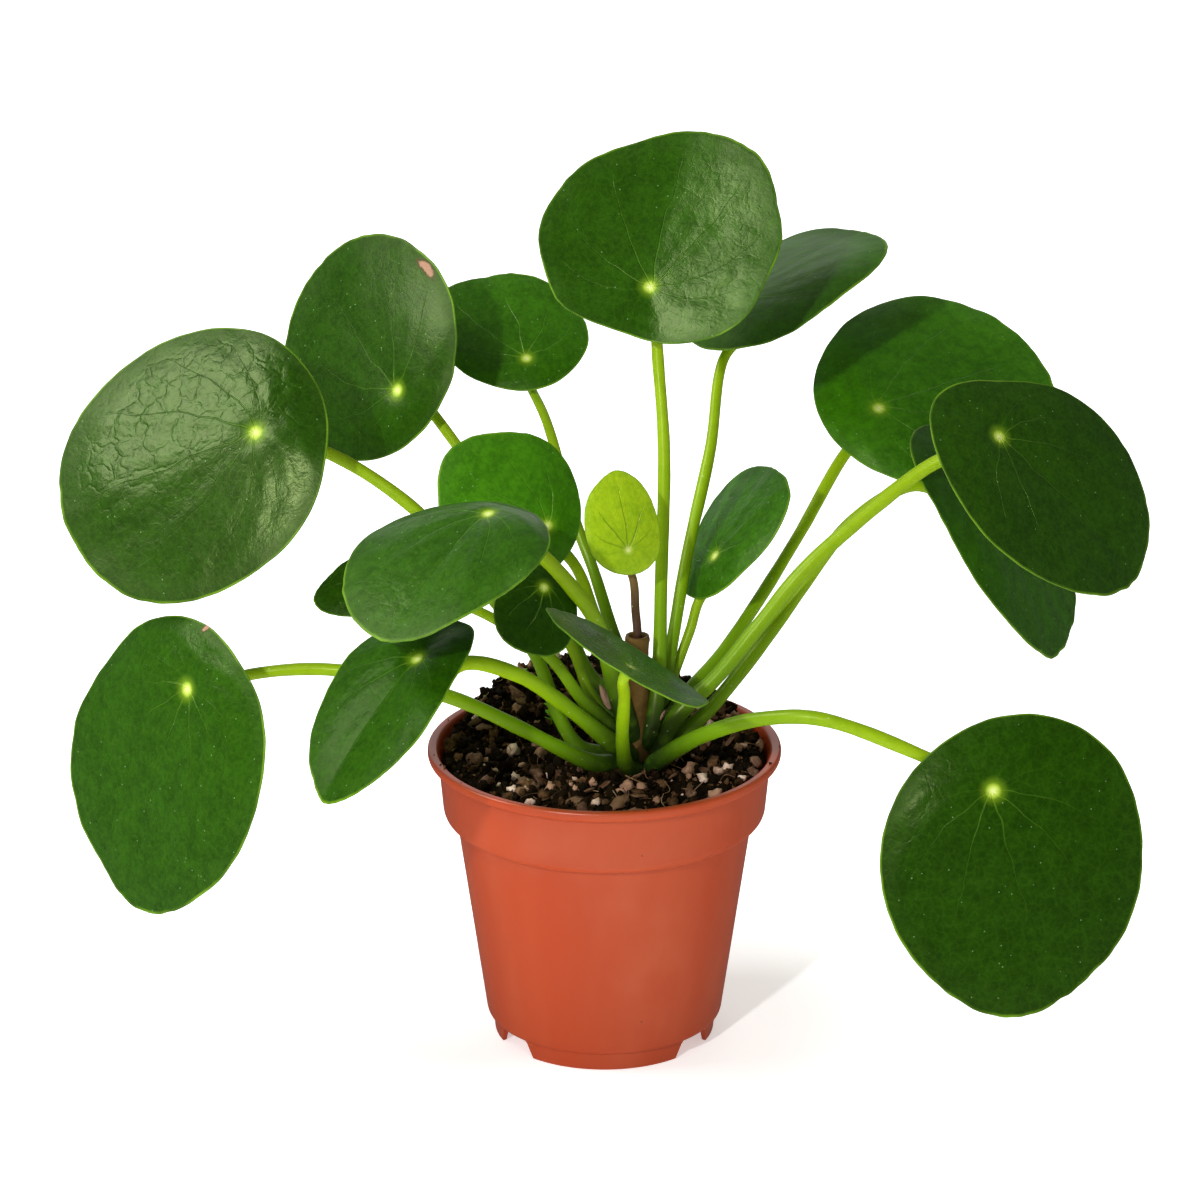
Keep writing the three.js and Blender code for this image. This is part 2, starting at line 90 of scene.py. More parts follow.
NOTCH_REACH = (33.5, 45)
DRAIN_HOLES = 4
DRAIN_RADIUS = 4
DRAIN_DISTANCE = 24

SOIL_RADIUS = 54
SOIL_EDGE = 101.0
SOIL_MOUND = (-6, 38, 18, 36, 22)  # x, y and height of the mound, and its spread each way
SOIL_WALL = [(36.2, 9), (38.6, 10.6), (48.8, 80.5), (52.8, 82.5), (54.6, 98.2)]
SOIL_MIDDLE = (0.010, 0.0045, 0.0012)
LIP_TOP = 103.9
LIP_RING = (1.06, 1.10)  # as shares of the soil's radius
EARTH_SHEEN = (1.0, 0.8, 0.5, 1)
# What is strewn: its name, shape, finish, spacing, density, least and most size, how far it
# tumbles and how much of its size it is lifted. Sizes are in metres, but a clod's are shares
# of the clod size in the settings, which also give a spacing that is left out here.
STREWN = [
    ("soil_clods", "lump", "clod", None, 230000, 0.15, 0.9, 3.1, 0.25),
    ("soil_crumbs", "lump", "clod", 0.0011, 260000, 0.12, 0.3, 3.1, 0.2),
    ("bark_chips", "chip", "bark", 0.0045, 16000, 0.0010, 0.0032, 0.7, 0.45),
    ("pumice_grit", "lump", "pumice", 0.0028, 26000, 0.0005, 0.0026, 3.1, 0.5),
    ("root_fibres", "fibre", "root", 0.0035, 14000, 0.0015, 0.0040, 0.8, 0.5),
    ("lip_crumbs", "lump", "bark", 0.0025, 22000, 0.0002, 0.0006, 3.1, 0.4),
]
SHAPES_PER_KIND = 5

STEM_AT = (11, -11)
STEM_WIDE, STEM_NARROW = (6.4, 104), (3.8, 113)  # radius and height, where stalks leave it
STEM_PROFILE = [
    (0, 93), (5.4, 93), (6.4, 94), (6.5, 104), (5.2, 109), (3.9, 113), (3.7, 120),
    (3.9, 126), (3.7, 131), (3.9, 136), (3.8, 142), (4.1, 147), (3.9, 148),
    (3.1, 148), (2.6, 147.4), (2.1, 145.8), (0, 145.5),
]
SCALES = [
    dict(node="dry_scale_1", at=(2.2, -12.4, 121.5), size=(1.7, 10), lean=-22, turn=10),
    dict(node="dry_scale_2", at=(14, -15.7, 111.3), size=(1.3, 13), lean=32, turn=12),
]
SEEDLINGS = [("weed_seedling_1", (-29, 28), 5), ("weed_seedling_2", (-18, 8), 7)]
LEAFLET_PAIRS = 4

# Lamps: name, place from the aim in metres, size and the setting that holds the power.
LAMPS = [
    ("key", (-0.66, -1.51, 0.93), (0.07, 0.07), "key_power"),
    ("side", (-1.24, -0.12, 1.24), (0.85, 0.85), "side_power"),
    ("back", (-0.25, 1.9, 0.75), (1.9, 1.5), "back_power"),
]
AIM_HEIGHT = 150
FLOOR_HALF = 4
FLOOR_FADE = (0.06, 0.15)  # metres from the pot's axis over which the floor grows brighter
FLOOR_RISE = 0.5
SEEN_SURROUND = 1.05

VEIN_STEP = 2 * math.pi / 9
VEIN_CURL = 0.36
MIDDLING_LEAF = 90  # the length that the waves of a blade are given for
LEAF_SHEEN = (0.82, 1.0, 0.42, 1)
STALK_SHEEN = (1.0, 1.0, 0.5, 1)
STALK_GAP = 0.3
TOP_ROOT = (144.5, 147.5, 150)  # heights where the youngest leaf's stalk starts in the stem
USUAL_LEAF = dict(
    egg=0.04, point=0.1, fold=0, skew=0, folds=(), approach=(11, 5), pillow=0.08, quilt=0.06,
    grain=0.5, halves=0.0, tone=1.0, gloss=0.38, rough=0.32, scar=(99, 0, 0.0),
)


def plan(name, at, pose, size, spot, bow, root, stalk, via, rim, **more):
    """One leaf as in the solid model.

    at is the pale spot where the stalk joins the blade, in millimetres from the pot's axis;
    pose is its facing, tilt and turn in degrees; size is the blade's length and width; spot
    is the share of the length behind the pale spot; bow is its dome and droop. The stalk
    leaves the stem at root, an angle and a height, with the radii in stalk, and bends at
    each via. rim is how far the margin swells, in per cent, as cosine and sine terms.
    """
    shape = dict(name=name, at=at, pose=pose, size=size, spot=spot, bow=bow)
    return {**USUAL_LEAF, **shape, "root": root, "stalk": stalk, "via": via, "rim": rim, **more}


# Each leaf's tone is partly its own shade of green and partly painted light and shade that sets
# how bright the leaf looks.
LEAVES = [
    plan("far_left_upper", (-116, -5, 218), (-115, 55, -61), (99, 93), 0.24, (0.05, 0.03),
         (172, 105.5), (2.4, 2), ((-8, -13, 108), (-15, -11, 118), (-23, -7, 139), (-36, 0, 155),
         (-63, 9, 185), (-93, 14, 204)), ((0.6, 0), (0.5, -2), (-0.5, 2.1), (0.4, -0.8),
         (-1, -0.4), (0.4, -0.4)), egg=0, point=-0.05, fold=0.08, folds=((-173, 3.4, 20),
         (158, -0.8, 14)), quilt=0.15, grain=0.8, tone=0.7, halves=0.3),
    plan("left_upper_back", (-71, 50, 214), (-133, 65, -119), (82, 78), 0.21, (0.05, 0.04),
         (128, 120), (2.3, 1.8), ((-5, 4, 128), (-15, 14, 147), (-29, 26, 167), (-51, 47, 196)),
         ((-1, 0), (2.7, 1.2), (1.1, -0.7), (-0.1, -0.1), (0, -0.1), (0, 0.1)), egg=0.03,
         fold=-0.04, pillow=0.03, quilt=0.02, tone=0.75, gloss=0.28, scar=(2.61, -3.5, 0.21)),
    plan("left_centre_back", (-27, 85, 214), (-90, 33, -165), (53, 50), 0.22, (0.05, 0.03),
         (112, 131), (2.1, 1.5), ((3, 4, 143), (-4, 19, 161), (-9, 33, 170), (-20, 70, 196)),
         ((2.7, 0), (2.9, 5.5), (-1, 6.2), (-2.1, -1.3), (-0.6, -1.3), (-0.9, -1), (0.4, -0.1)),
         egg=0.03, point=0.13, tone=1.5),
    plan("top", (15, 25, 259), (-101, 47, 175), (78, 84), 0.23, (-0.02, 0.05), (332, 115),
         (2.4, 1.9), ((17.5, -11, 125), (18.5, -5, 138), (19, 2, 160), (20, 16, 204),
         (18, 28, 232)), ((1.3, 0), (-6.5, -3.5), (4.7, 2.5), (-1.6, -4.4), (-1.3, 0.4), (2.3, -1),
         (-1.8, 0.2), (1.6, 0.1)), egg=0.1, point=-0.2, fold=-0.05, skew=-0.04,
         folds=((-172, 3.0, 13), (158, -1.4, 12)), quilt=0.05, grain=0.8, tone=0.95, halves=1.5),
    plan("top_back", (46, 70, 240), (-167, 24, -154), (79, 70), 0.26, (0.08, 0.05), (32, 118),
         (2.3, 1.8), ((20, -3, 127), (23, 3, 141), (28, 18, 166), (36, 38, 197), (41, 61, 222)),
         ((2.5, 0), (1.4, 3.3), (0.3, 4.6), (-2.6, -2.3), (-3.8, 1), (1, -0.7), (0.5, 0)),
         tone=1.3, rough=0.5),
    plan("right_upper_back", (95, 76, 199), (-79, 33, 111), (85, 82), 0.23, (0.07, 0.05),
         (46, 108.5), (2.4, 1.9), ((29, 5, 122), (39, 13, 131), (51, 26, 144), (67, 47, 163),
         (84, 70, 185)), ((0.5, 0), (6, 3.4), (-1, 0.3), (-1.4, -0.2), (0.7, -1.3), (-0.4, 0.5)),
         point=-0.05, tone=2.1),
    plan("right_upper", (132, 5, 213), (-49, 50, 30), (90, 75), 0.25, (0.06, 0.03), (352, 110),
         (2.9, 2.3), ((25, -11, 120), (37, -8, 131), (52, -4, 149), (66, 0, 166), (86, 7, 183),
         (112, 14, 201)), ((-0.2, 0), (1.3, 0.1), (1.3, 2.7), (-3.2, -2.5), (3.3, 1.1),
         (-1.9, -0.3)), egg=0.02, point=0.2, fold=-0.13, skew=0.02, grain=0.8, tone=0.8),
    plan("right_middle", (126, 36, 187.3), (-24, 54, -6), (92, 72), 0.25, (0.06, 0.03),
         (16, 104.6), (2.5, 2.1), ((26, -6, 110), (36, -1, 118), (56, 9, 141), (66, 15, 154),
         (84, 25, 175.5), (104, 33, 185.5)), ((-2.2, 0), (-5.1, 5.7), (4.5, 5.7), (0.4, -3.8),
         (-2.3, 0.9), (1.5, -1.1)), point=0.2, fold=-0.08, grain=1.0, tone=1.3),
    plan("centre_right_small", (37, 15, 167), (-158, 50, -160), (53, 49), 0.28, (0.05, 0.03),
         (76, 113), (2, 1.5), ((20, 2, 119), (24, 3, 130), (29, 7, 143), (33, 13, 153)),
         ((-2.4, 0), (2.1, 0.2), (2.1, -3.9), (-4.1, 5.9), (-0.5, -0.1), (0.1, -0.6)), point=0.15,
         grain=0.9, tone=1.5, gloss=0.22),
    plan("centre_left_round", (-19, 0, 183), (-70, 70, -125), (53, 51), 0.22, (0.05, 0.03),
         (165, 128), (2.3, 1.8), ((2, -9, 141), (-3, -4, 152), (-10, 3, 168)), ((-0.8, 0),
         (-0.8, 1), (0.7, -2.3), (-0.8, 0.4), (1.7, -1.9), (-0.4, -0.4)), tone=2.4),
    plan("front_left_large", (-38, -50, 206), (-131, 19, 3), (76, 67), 0.17, (0.08, 0.06),
         (222, 121), (2.9, 2.4), ((3, -16, 134), (-2, -21, 155), (-11, -26, 171), (-24, -35, 188)),
         ((-4.3, 0), (0.1, -4.4), (-1.4, -2.7), (0.7, 2.5), (1.6, 0.6), (-1.6, -0.3)), egg=0.05,
         point=0.2, fold=-0.1, tone=1.2),
    plan("left_shaded", (-20, -24, 170), (-70, 55, -30), (32, 28), 0.25, (0.05, 0.03),
         (177, 117.4), (1.9, 1.5), ((-4, -9, 125), (-11, -10, 143)), ((1.4, 0), (0.4, 2.2),
         (-2.6, 1.2), (-2.6, -0.7), (-0.6, -0.8)), tone=0.7),
    plan("far_left_low", (-139, -35, 138), (-136, 77, -17), (105, 95), 0.2, (0.06, 0.05),
         (214, 104.6), (2.7, 1.9), ((-4, -21, 106), (-15, -24, 112.5), (-28, -26, 120.5),
         (-51, -27, 132), (-89, -20, 139), (-118, -16, 136)), ((-1.2, 0), (0.9, -0.5), (1.5, 1.5),
         (-0.9, -1), (0.1, 0.3), (0.5, 0.5)), egg=0.07, fold=-0.06, skew=-0.06, grain=0.8,
         tone=0.95, gloss=0.26, scar=(-2.0, -0.7, 0.09)),
    plan("front_left_low", (-61, -70, 163), (-138, 33, 2), (76, 50), 0.26, (0.08, 0.07),
         (240, 109.4), (2.8, 2.3), ((2, -22, 114), (-15, -31, 132.3), (-28, -41, 145.3),
         (-45, -54, 155)), ((0.8, 0), (-1.7, -2.5), (2.1, 3.1), (-2.2, 0.8), (1.1, -1.2),
         (-0.5, 1.3)), point=0.35, fold=-0.27, skew=0.07, tone=0.95, gloss=0.1),
    plan("front_edge_on", (8.6, -68, 159.7), (16, 31, 150), (61, 49), 0.46, (-0.039, -0.019),
         (266, 104.4), (2.4, 1.8), ((7.5, -23, 105.5), (6, -32, 118), (6.5, -50, 141)), ((1.3, 0),
         (0.2, -1.5), (-0.3, -1.1), (-0.5, -1.6), (-1.2, 1), (0.9, 2.3)), point=0.197, fold=0.067,
         skew=-0.016, approach=(4.5,), grain=0.8, tone=1.6, rough=0.28),
    plan("right_low", (128, -60, 112), (-84, 72, 13), (103, 88), 0.25, (0.05, 0.04), (310, 104.6),
         (2.8, 2), ((27, -26, 115), (38, -33, 123), (51, -39, 129), (71, -46, 132),
         (105, -49, 120)), ((-2.6, 0), (3.2, 4.2), (-4.5, -6.2), (2.3, 1.5), (-0.8, -0.9),
         (0.2, -0.6)), point=0.05, tone=0.66, gloss=0.16),
    plan("left_small_hidden", (-72, -10, 168), (-110, 45, -75), (40, 24), 0.3, (0.05, 0.03),
         (205, 113.5), (2.3, 1.4), ((0, -15, 119), (-7, -18, 127), (-18, -19, 143),
         (-30, -17, 152), (-48, -13, 160)), ((-2.6, 0), (-3.4, 3.9), (-0.9, 4), (-0.1, 2.3),
         (0, 1), (0.1, 0.1), (-0.1, -0.2)), tone=0.7),
    plan("youngest", (8, -15, 180), (-70, 72, 184), (36, 27), 0.24, (0.06, 0.02), "top",
         (1.5, 1.3), ((10.4, -9.5, 156), (9.4, -9, 168)), ((-1.7, 0), (-2.6, -2), (1.5, 2.5),
         (0.4, -3), (-1.3, 0.6), (0.7, -0.6)), egg=0.08, point=0.15, gloss=0.6, rough=0.2),
]


# ---- Places and small sums ----


def from_axis(x, y, z):
    """A point given in millimetres from the pot's axis, in the frame's metres."""
    return Vector((AXIS[0] + x * MM, AXIS[1] + y * MM, z * MM))


def ease(low, high, value):
    """A smooth step from 0 at low to 1 at high."""
    t = min(max((value - low) / (high - low), 0.0), 1.0)
    return t * t * (3 - 2 * t)


def between(a, b, t):
    return a + (b - a) * t


def polar(count, k):
    """The cosine and sine of one of a number of even steps round a circle."""
    a = 2 * math.pi * k / count
    return math.cos(a), math.sin(a)


def grain(seed, *place):
    """Smooth noise from -1 to 1 at up to three coordinates."""
    x, y, z = (tuple(place) + (0.0, 0.0, 0.0))[:3]
    return noise.noise(Vector((x + seed * 7.31, y - seed * 3.17, z + seed * 1.93)))


def fillet(profile, steps=4):
    """Rounds each corner of (radius, height, fillet) points to a smooth bend."""
    points = [Vector((r, z)) for r, z, _ in profile]
    out = []
    for i, (_, _, size) in enumerate(profile):
        here = points[i]
        if size <= 0:
            out.append((here.x, here.y))
            continue
        before, after = points[i - 1] - here, points[i + 1] - here
        start = here + before.normalized() * min(size, before.length * 0.48)
        end = here + after.normalized() * min(size, after.length * 0.48)
        for k in range(steps + 1):
            t = k / steps
            p = start * (1 - t) ** 2 + here * 2 * t * (1 - t) + end * t * t
            out.append((p.x, p.y))
    return out


def path_through(points, per_span=10):
    """Centripetal spline points through the given ones, as the solid stalks follow."""
    ends = [points[0] * 2 - points[1]] + list(points) + [points[-1] * 2 - points[-2]]
    out = []
    for a, b, c, d in zip(ends, ends[1:], ends[2:], ends[3:]):
        ta, tb, tc = (max((q - p).length, 1e-7) ** 0.5 for p, q in ((a, b), (b, c), (c, d)))
        m1 = ((b - a) / ta - (c - a) / (ta + tb) + (c - b) / tb) * tb
        m2 = ((c - b) / tb - (d - b) / (tb + tc) + (d - c) / tc) * tb
        for k in range(per_span):
            t = k / per_span
            cubic = (b - c) * 2 + m1 + m2
            square = (c - b) * 3 - m1 * 2 - m2
            out.append(b + m1 * t + square * t * t + cubic * t**3)
    out.append(points[-1])
    return out


# ---- Meshes ----


def linked(name, data):
    """A new object in the scene."""
    made = bpy.data.objects.new(name, data)
    bpy.context.scene.collection.objects.link(made)
    return made


def mesh_object(name, points, faces, edges=(), smooth=True):
    mesh = bpy.data.meshes.new(name)
    mesh.from_pydata(points, edges, faces)
    mesh.polygons.foreach_set("use_smooth", [smooth] * len(mesh.polygons))
    return linked(name, mesh)


def shell_object(name, shell, smooth=True):
    """An object from an edited mesh, which is used up."""
    mesh = bpy.data.meshes.new(name)
    shell.to_mesh(mesh)
    shell.free()
    mesh.polygons.foreach_set("use_smooth", [smooth] * len(mesh.polygons))
    return linked(name, mesh)


def edit_mesh(piece, step):
    """Runs one mesh operation on a piece."""
    shell = bmesh.new()
    shell.from_mesh(piece.data)
    step(shell)
    shell.to_mesh(piece.data)
    shell.free()


def face_out(piece):
    """Turns every closed shell of a piece to face outwards."""
    edit_mesh(piece, lambda shell: bmesh.ops.recalc_face_normals(shell, faces=shell.faces))


def add_values(piece, name, values, kind="FLOAT"):
    """Stores one number or vector for each point of a piece, for its material."""
    layer = piece.data.attributes.new(name, kind, "POINT")
    if kind == "FLOAT":
        layer.data.foreach_set("value", values)
    else:
        layer.data.foreach_set("vector", [n for v in values for n in v])


def finished(piece, node, finish=None):
    """Gives a piece its finish, and stands it in for its solid node."""
    if finish:
        piece.data.materials.clear()
        piece.data.materials.append(finish)
    face_out(piece)
    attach(piece, "root")
    if node:
        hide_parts(node)
    return piece


def made_plain(piece, name):
    """The evaluated shape of a piece as a plain mesh object, without its modifiers."""
    bpy.context.view_layer.update()
    graph = bpy.context.evaluated_depsgraph_get()
    mesh = bpy.data.meshes.new_from_object(piece.evaluated_get(graph))
    bpy.data.objects.remove(piece)
    mesh.name = name
    return linked(name, mesh)


def ring_faces(rows):
    """Faces between rings of point numbers; a ring of one point closes an end."""
    faces = []
    for low, high in zip(rows, rows[1:]):
        sides = max(len(low), len(high))
        for k in range(sides):
            n = (k + 1) % sides
            if len(low) == 1:
                faces.append((low[0], high[k], high[n]))
            elif len(high) == 1:
                faces.append((low[k], high[0], low[n]))
            else:
                faces.append((low[k], high[k], high[n], low[n]))
    return faces


def even_rows(count, sides, first=0):
    """Point numbers of a stack of equal rings."""
    return [[first + i * sides + k for k in range(sides)] for i in range(count)]


def turned(name, profile, segments, wobble=None):
    """A profile of (radius, height) in millimetres, turned about Z at the origin."""
    points, rows = [], []
    for r, z in profile:
        single = r < 1e-6
        rows.append([len(points) + k for k in range(1 if single else segments)])
        for k in range(len(rows[-1])):
            c, s = polar(segments, k)
            radius = 0 if single else r + (wobble(c, s, z) if wobble else 0)
            points.append((radius * c, radius * s, z))
    return mesh_object(name, points, ring_faces(rows))


def placed(piece, at):
    """Moves a millimetre mesh to its place in the frame, inside the mesh itself."""
    piece.data.transform(Matrix.Translation(from_axis(*at)) @ Matrix.Scale(MM, 4))
    return piece


# ---- Node trees ----


def feed(node, inputs):
    """Sets a node's inputs; each is given as a plain value or as a socket to link."""
    for key, value in inputs.items():
        if isinstance(value, Socket):
            node.id_data.links.new(value.socket, node.inputs[key])
        else:
            node.inputs[key].default_value = value


def put(tree, kind, inputs=None, **settings):
    """Adds a node with its settings and inputs."""
    made = tree.nodes.new(kind)
    for key, value in settings.items():
        setattr(made, key, value)
    feed(made, inputs or {})
    return Outputs(made)


class Outputs:
    """A node's output sockets."""

    def __init__(self, node):
        self.node, self.tree = node, node.id_data

    def __getitem__(self, key):
        return Socket(self.node.outputs[key])


class Socket:
    """A socket that adds, multiplies and so on like a number or vector, by adding nodes."""

    def __init__(self, socket):
        self.socket, self.tree = socket, socket.id_data
        self.wide = socket.type in ("VECTOR", "RGBA")

    def calc(self, operation, *others):
        inputs = dict(enumerate((self, *others)))
        return put(self.tree, "ShaderNodeMath", inputs, operation=operation)[0]

    def vector(self, operation, inputs=None, output=0):
        inputs = {0: self, **(inputs or {})}
        return put(self.tree, "ShaderNodeVectorMath", inputs, operation=operation)[output]

    def __add__(self, other):
        return self.vector("ADD", {1: other}) if self.wide else self.calc("ADD", other)

    def __sub__(self, other):
        return self.vector("SUBTRACT", {1: other}) if self.wide else self.calc("SUBTRACT", other)

    def __rsub__(self, other):
        return put(self.tree, "ShaderNodeMath", {0: other, 1: self}, operation="SUBTRACT")[0]

    def __mul__(self, other):
        if self.wide:
            return self.vector("SCALE", {"Scale": other})
        return self.calc("MULTIPLY", other)

    def __truediv__(self, other):
        return self.calc("DIVIDE", other)


def fade(value, low, high, start=0.0, end=1.0):
    """A smooth step of a value from start, at low, to end, at high."""
    inputs = {0: value, 1: low, 2: high, 3: start, 4: end}
    return put(value.tree, "ShaderNodeMapRange", inputs, interpolation_type="SMOOTHSTEP")[0]


def ramp(share, start, end):
    """A straight rise from start to end as a share goes from 0 to 1."""
    return put(share.tree, "ShaderNodeMapRange", {0: share, 3: start, 4: end})[0]


def layered(colour, *coats):
    """Lays coats of (amount, colour) over a colour, one after the other."""
    for amount, coat in coats:
        inputs = {0: amount, 6: colour, 7: coat}
        colour = put(amount.tree, "ShaderNodeMix", inputs, data_type="RGBA")[2]
    return colour


def cloud(place, scale, detail=2.0, roughness=0.5, swirl=0.0, output=0):
    inputs = {"Vector": place, "Scale": scale, "Detail": detail, "Roughness": roughness,
              "Distortion": swirl}
    return put(place.tree, "ShaderNodeTexNoise", inputs)[output]


def cells(place, scale, feature="DISTANCE_TO_EDGE"):
    inputs = {"Vector": place, "Scale": scale}
    return put(place.tree, "ShaderNodeTexVoronoi", inputs, feature=feature)


def specks(place, scale, small, large, rarity):
    """Round dots, one in each of the cells whose luck is above the rarity."""
    dots = cells(place, scale, "F1")
    luck = put(place.tree, "ShaderNodeSeparateColor", {0: dots["Color"]})[0]
    return fade(dots["Distance"], small, large, 1.0, 0.0) * luck.calc("GREATER_THAN", rarity)


NUMBER, COLOUR, VECTOR, COUNT, MATERIAL, COLLECTION, GEOMETRY = (
    f"NodeSocket{kind}"
    for kind in ("Float", "Color", "Vector", "Int", "Material", "Collection", "Geometry"))


def add_socket(tree, label, kind, side="INPUT"):
    return tree.interface.new_socket(name=label, in_out=side, socket_type=kind)


def shader_group(name, inputs):
    """An empty shader group with named inputs and their defaults; gives its inputs."""
    tree = bpy.data.node_groups.new(name, "ShaderNodeTree")
    for label, value in inputs.items():
        kind = NUMBER if isinstance(value, float) else {3: VECTOR, 4: COLOUR}[len(value)]
        add_socket(tree, label, kind).default_value = value
    for label, kind in (("Color", COLOUR), ("Roughness", NUMBER), ("Height", NUMBER)):
        add_socket(tree, label, kind, "OUTPUT")
    return Outputs(tree.nodes.new("NodeGroupInput"))


def closed_look(given, colour, roughness, height):
    """Ends a shader group in its three results."""
    end = given.tree.nodes.new("NodeGroupOutput")
    feed(end, {"Color": colour, "Roughness": roughness, "Height": height})
    return given.tree


def surface(name, group, values, **shader):
    """A material whose colour, roughness and relief come from a group."""
    made = bpy.data.materials.new(name)
    made.use_nodes = True
    tree = made.node_tree
    given = {key: value(tree) if callable(value) else value for key, value in values.items()}
    look = put(tree, "ShaderNodeGroup", given, node_tree=group)
    bump = put(tree, "ShaderNodeBump", {"Height": look["Height"], "Distance": MM})
    feed(tree.nodes["Principled BSDF"], {
        "Base Color": look["Color"], "Roughness": look["Roughness"], "Normal": bump[0],
        **{key.replace("_", " "): value for key, value in shader.items()},
    })
    return made


def stored(name, output="Fac", scale=None):
    """Reads a stored point value in a material, and may scale it."""

    def read(tree):
        value = put(tree, "ShaderNodeAttribute", attribute_name=name,
                    attribute_type="GEOMETRY")[output]
        return value * scale if scale else value

    return read


def own_place(tree):
    return put(tree, "ShaderNodeTexCoord")["Object"]


def shared_tree(name, maker):
    """One of the shared node groups, built the first time it is asked for."""
    return bpy.data.node_groups.get(name) or maker(name)


def blade_look(name):
    """Veins, quilting, painted groove shade, mottling, pale spot, pale edge and painted rim
    highlight, scars.
    """
    given = shader_group(name, {
        "Place": (0, 0, 0), "Reach": 0.5, "Underside": 0.0, "Seed": (0, 0, 0),
        "Deep": (0.01, 0.06, 0.002, 1), "Bright": (0.05, 0.2, 0.005, 1),
        "Vein": (0.09, 0.22, 0.012, 1), "Spot": (0.55, 0.68, 0.10, 1),
        "Edge": (0.16, 0.33, 0.012, 1), "Back": (0.12, 0.24, 0.03, 1), "Spot Size": 0.4,
        "Vein Strength": 0.32, "Quilting": 0.15, "Grain": 0.5, "Halves": 0.0,
        "Base Roughness": 0.42, "Scar Place": (99, 0, 0), "Scar Size": 0.0,
    })
    flat, reach, deep, bright = (given[key] for key in ("Place", "Reach", "Deep", "Bright"))
    place = flat + given["Seed"]
    sway = (cloud(place, 0.5, output="Color") - (0.5, 0.5, 0.5)) * 0.7
    warped = flat + sway
    axes = put(given.tree, "ShaderNodeSeparateXYZ", {0: warped})
    away = (axes[0] * axes[0] + axes[1] * axes[1]).calc("SQRT")
    plain = flat.vector("LENGTH", output="Value")
    angle = axes[1].calc("ARCTAN2", axes[0])

    # Veins leave the spot every VEIN_STEP radians and curve towards the tip.
    curl = 1.0 - reach * VEIN_CURL
    off = (angle / curl / VEIN_STEP).calc("PINGPONG", 0.5)
    arc = off * VEIN_STEP * (away * curl)
    main = fade(arc / fade(reach, 0.0, 0.9, 0.042, 0.016), 0.2, 1.0, 1.0, 0.0)
    main = main * fade(reach, 0.5, 0.92, 1.0, 0.0)
    main = main * fade(angle.calc("ABSOLUTE"), 0.9, 2.2, 1.0, 0.10)
    veined = warped + given["Seed"]
    net = cells(veined + cloud(place, 2.2, 1.0, output="Color") * 0.55, 1.15)["Distance"]
    fine_line = fade(cells(veined, 3.6)["Distance"], 0.0, 0.14, 1.0, 0.0)

    blotch = cloud(place, 0.45) * 0.35 + cloud(place, 2.0, 3.0, 0.6) * 0.65
    mottle = fade(cloud(place, 6.0, 5.0, 0.7), 0.38, 0.62, -0.45, 0.45)
    speck = specks(place, 3.0, 0.04, 0.10, 0.35)
    ray = main * fade(plain, 0.15, 0.7, 1.0, 0.0)
    spotted = plain / given["Spot Size"]
    glow = fade(spotted, 0.35, 1.6, 0.55, 0.0)
    broken = fade(cloud(place, 0.5), 0.35, 0.65, 0.15, 0.75)
    # A scar is longer along the blade than across it.
    apart = warped - given["Scar Place"]
    across = put(given.tree, "ShaderNodeSeparateXYZ", {0: apart})[1]
    whole = apart.vector("LENGTH", output="Value")
    gap = (whole * whole * 0.15 + across * across * 0.85).calc("SQRT")
    scar = (gap + (cloud(place, 5.0) - 0.5) * 0.15) / (given["Scar Size"] + 0.0001)
    colour = layered(
        deep,
        (fade(blotch, 0.34, 0.66), bright),
        (mottle.calc("ABSOLUTE"),
         layered(deep, (mottle.calc("GREATER_THAN", 0.0), bright))),
        # Painted shade: the net of grooves between the cushions is darkened towards the deep
        # green.
        (fade(net, 0.0, 0.07, 1.0, 0.0) * 0.12, deep),
        (fine_line * 0.05, given["Vein"]),
        (main * fade(plain, 0.3, 3.0, 1.0, 0.35) * given["Vein Strength"], given["Vein"]),
        (speck * 0.5, (0.24, 0.42, 0.16, 1)),
        (given["Underside"], given["Back"]),
        ((ray * 0.4).calc("MAXIMUM", glow), (0.22, 0.38, 0.012, 1)),
        (fade(spotted, 0.35, 0.85, 1.0, 0.0), given["Spot"]),
        (fade(spotted, 0.1, 0.5, 0.5, 0.0), (0.85, 0.88, 0.42, 1)),
        # Painted rim highlight: the edge colour is partly the margin's own paler green and partly
        # a highlight painted along the rim, broken by noise.
        (fade(reach, 0.985, 1.0) * broken, given["Edge"]),
        (fade(scar, 0.9, 1.15, 0.9, 0.0), (0.05, 0.03, 0.01, 1)),
        (fade(scar, 0.55, 0.85, 0.9, 0.0), (0.40, 0.20, 0.14, 1)),
    )

    # Fine streaks fan out from the spot, and show only where the blade shines.
    fan = put(given.tree, "ShaderNodeCombineXYZ", {0: angle * 6.0, 1: away * 0.7})[0]
    streak = cloud(fan + given["Seed"], 2.2, 3.0, 0.6)
    frost = cloud(place, 6.0, 4.0, 0.65)
    wax = given["Base Roughness"] + (frost - 0.5) * 0.16 + given["Underside"] * 0.2
    wax = wax + fade(reach, 0.80, 0.98, 0.0, 0.12)

    # The cushions between the net of veins stand out on one half of the blade.
    cushions = given["Quilting"] * fade(axes[1] * -1.0, -2.0, 1.2, 0.25, 1.0)
    cushions = cushions * fade(reach, 0.75, 1.0, 1.0, 0.2)
    pillow = (fade(net, 0.0, 0.42) - fade(net, 0.0, 0.10, 1.0, 0.0) * 0.45) * cushions
    swirl = cloud(place, 3.2, 3.0, 0.55, 1.6)
    rub = streak * 0.10 + swirl * 0.14 + frost * 0.05 + cloud(place, 1.6) * 0.14
    relief = pillow - main * given["Grain"] * 0.25 - fine_line * 0.010
    relief = relief + rub * given["Grain"] + speck * 0.03
    # Both halves rise a little from the midrib.
    gutter = (axes[1] * axes[1] + 1.2).calc("SQRT")
    return closed_look(given, colour, wax, relief + gutter * given["Halves"])


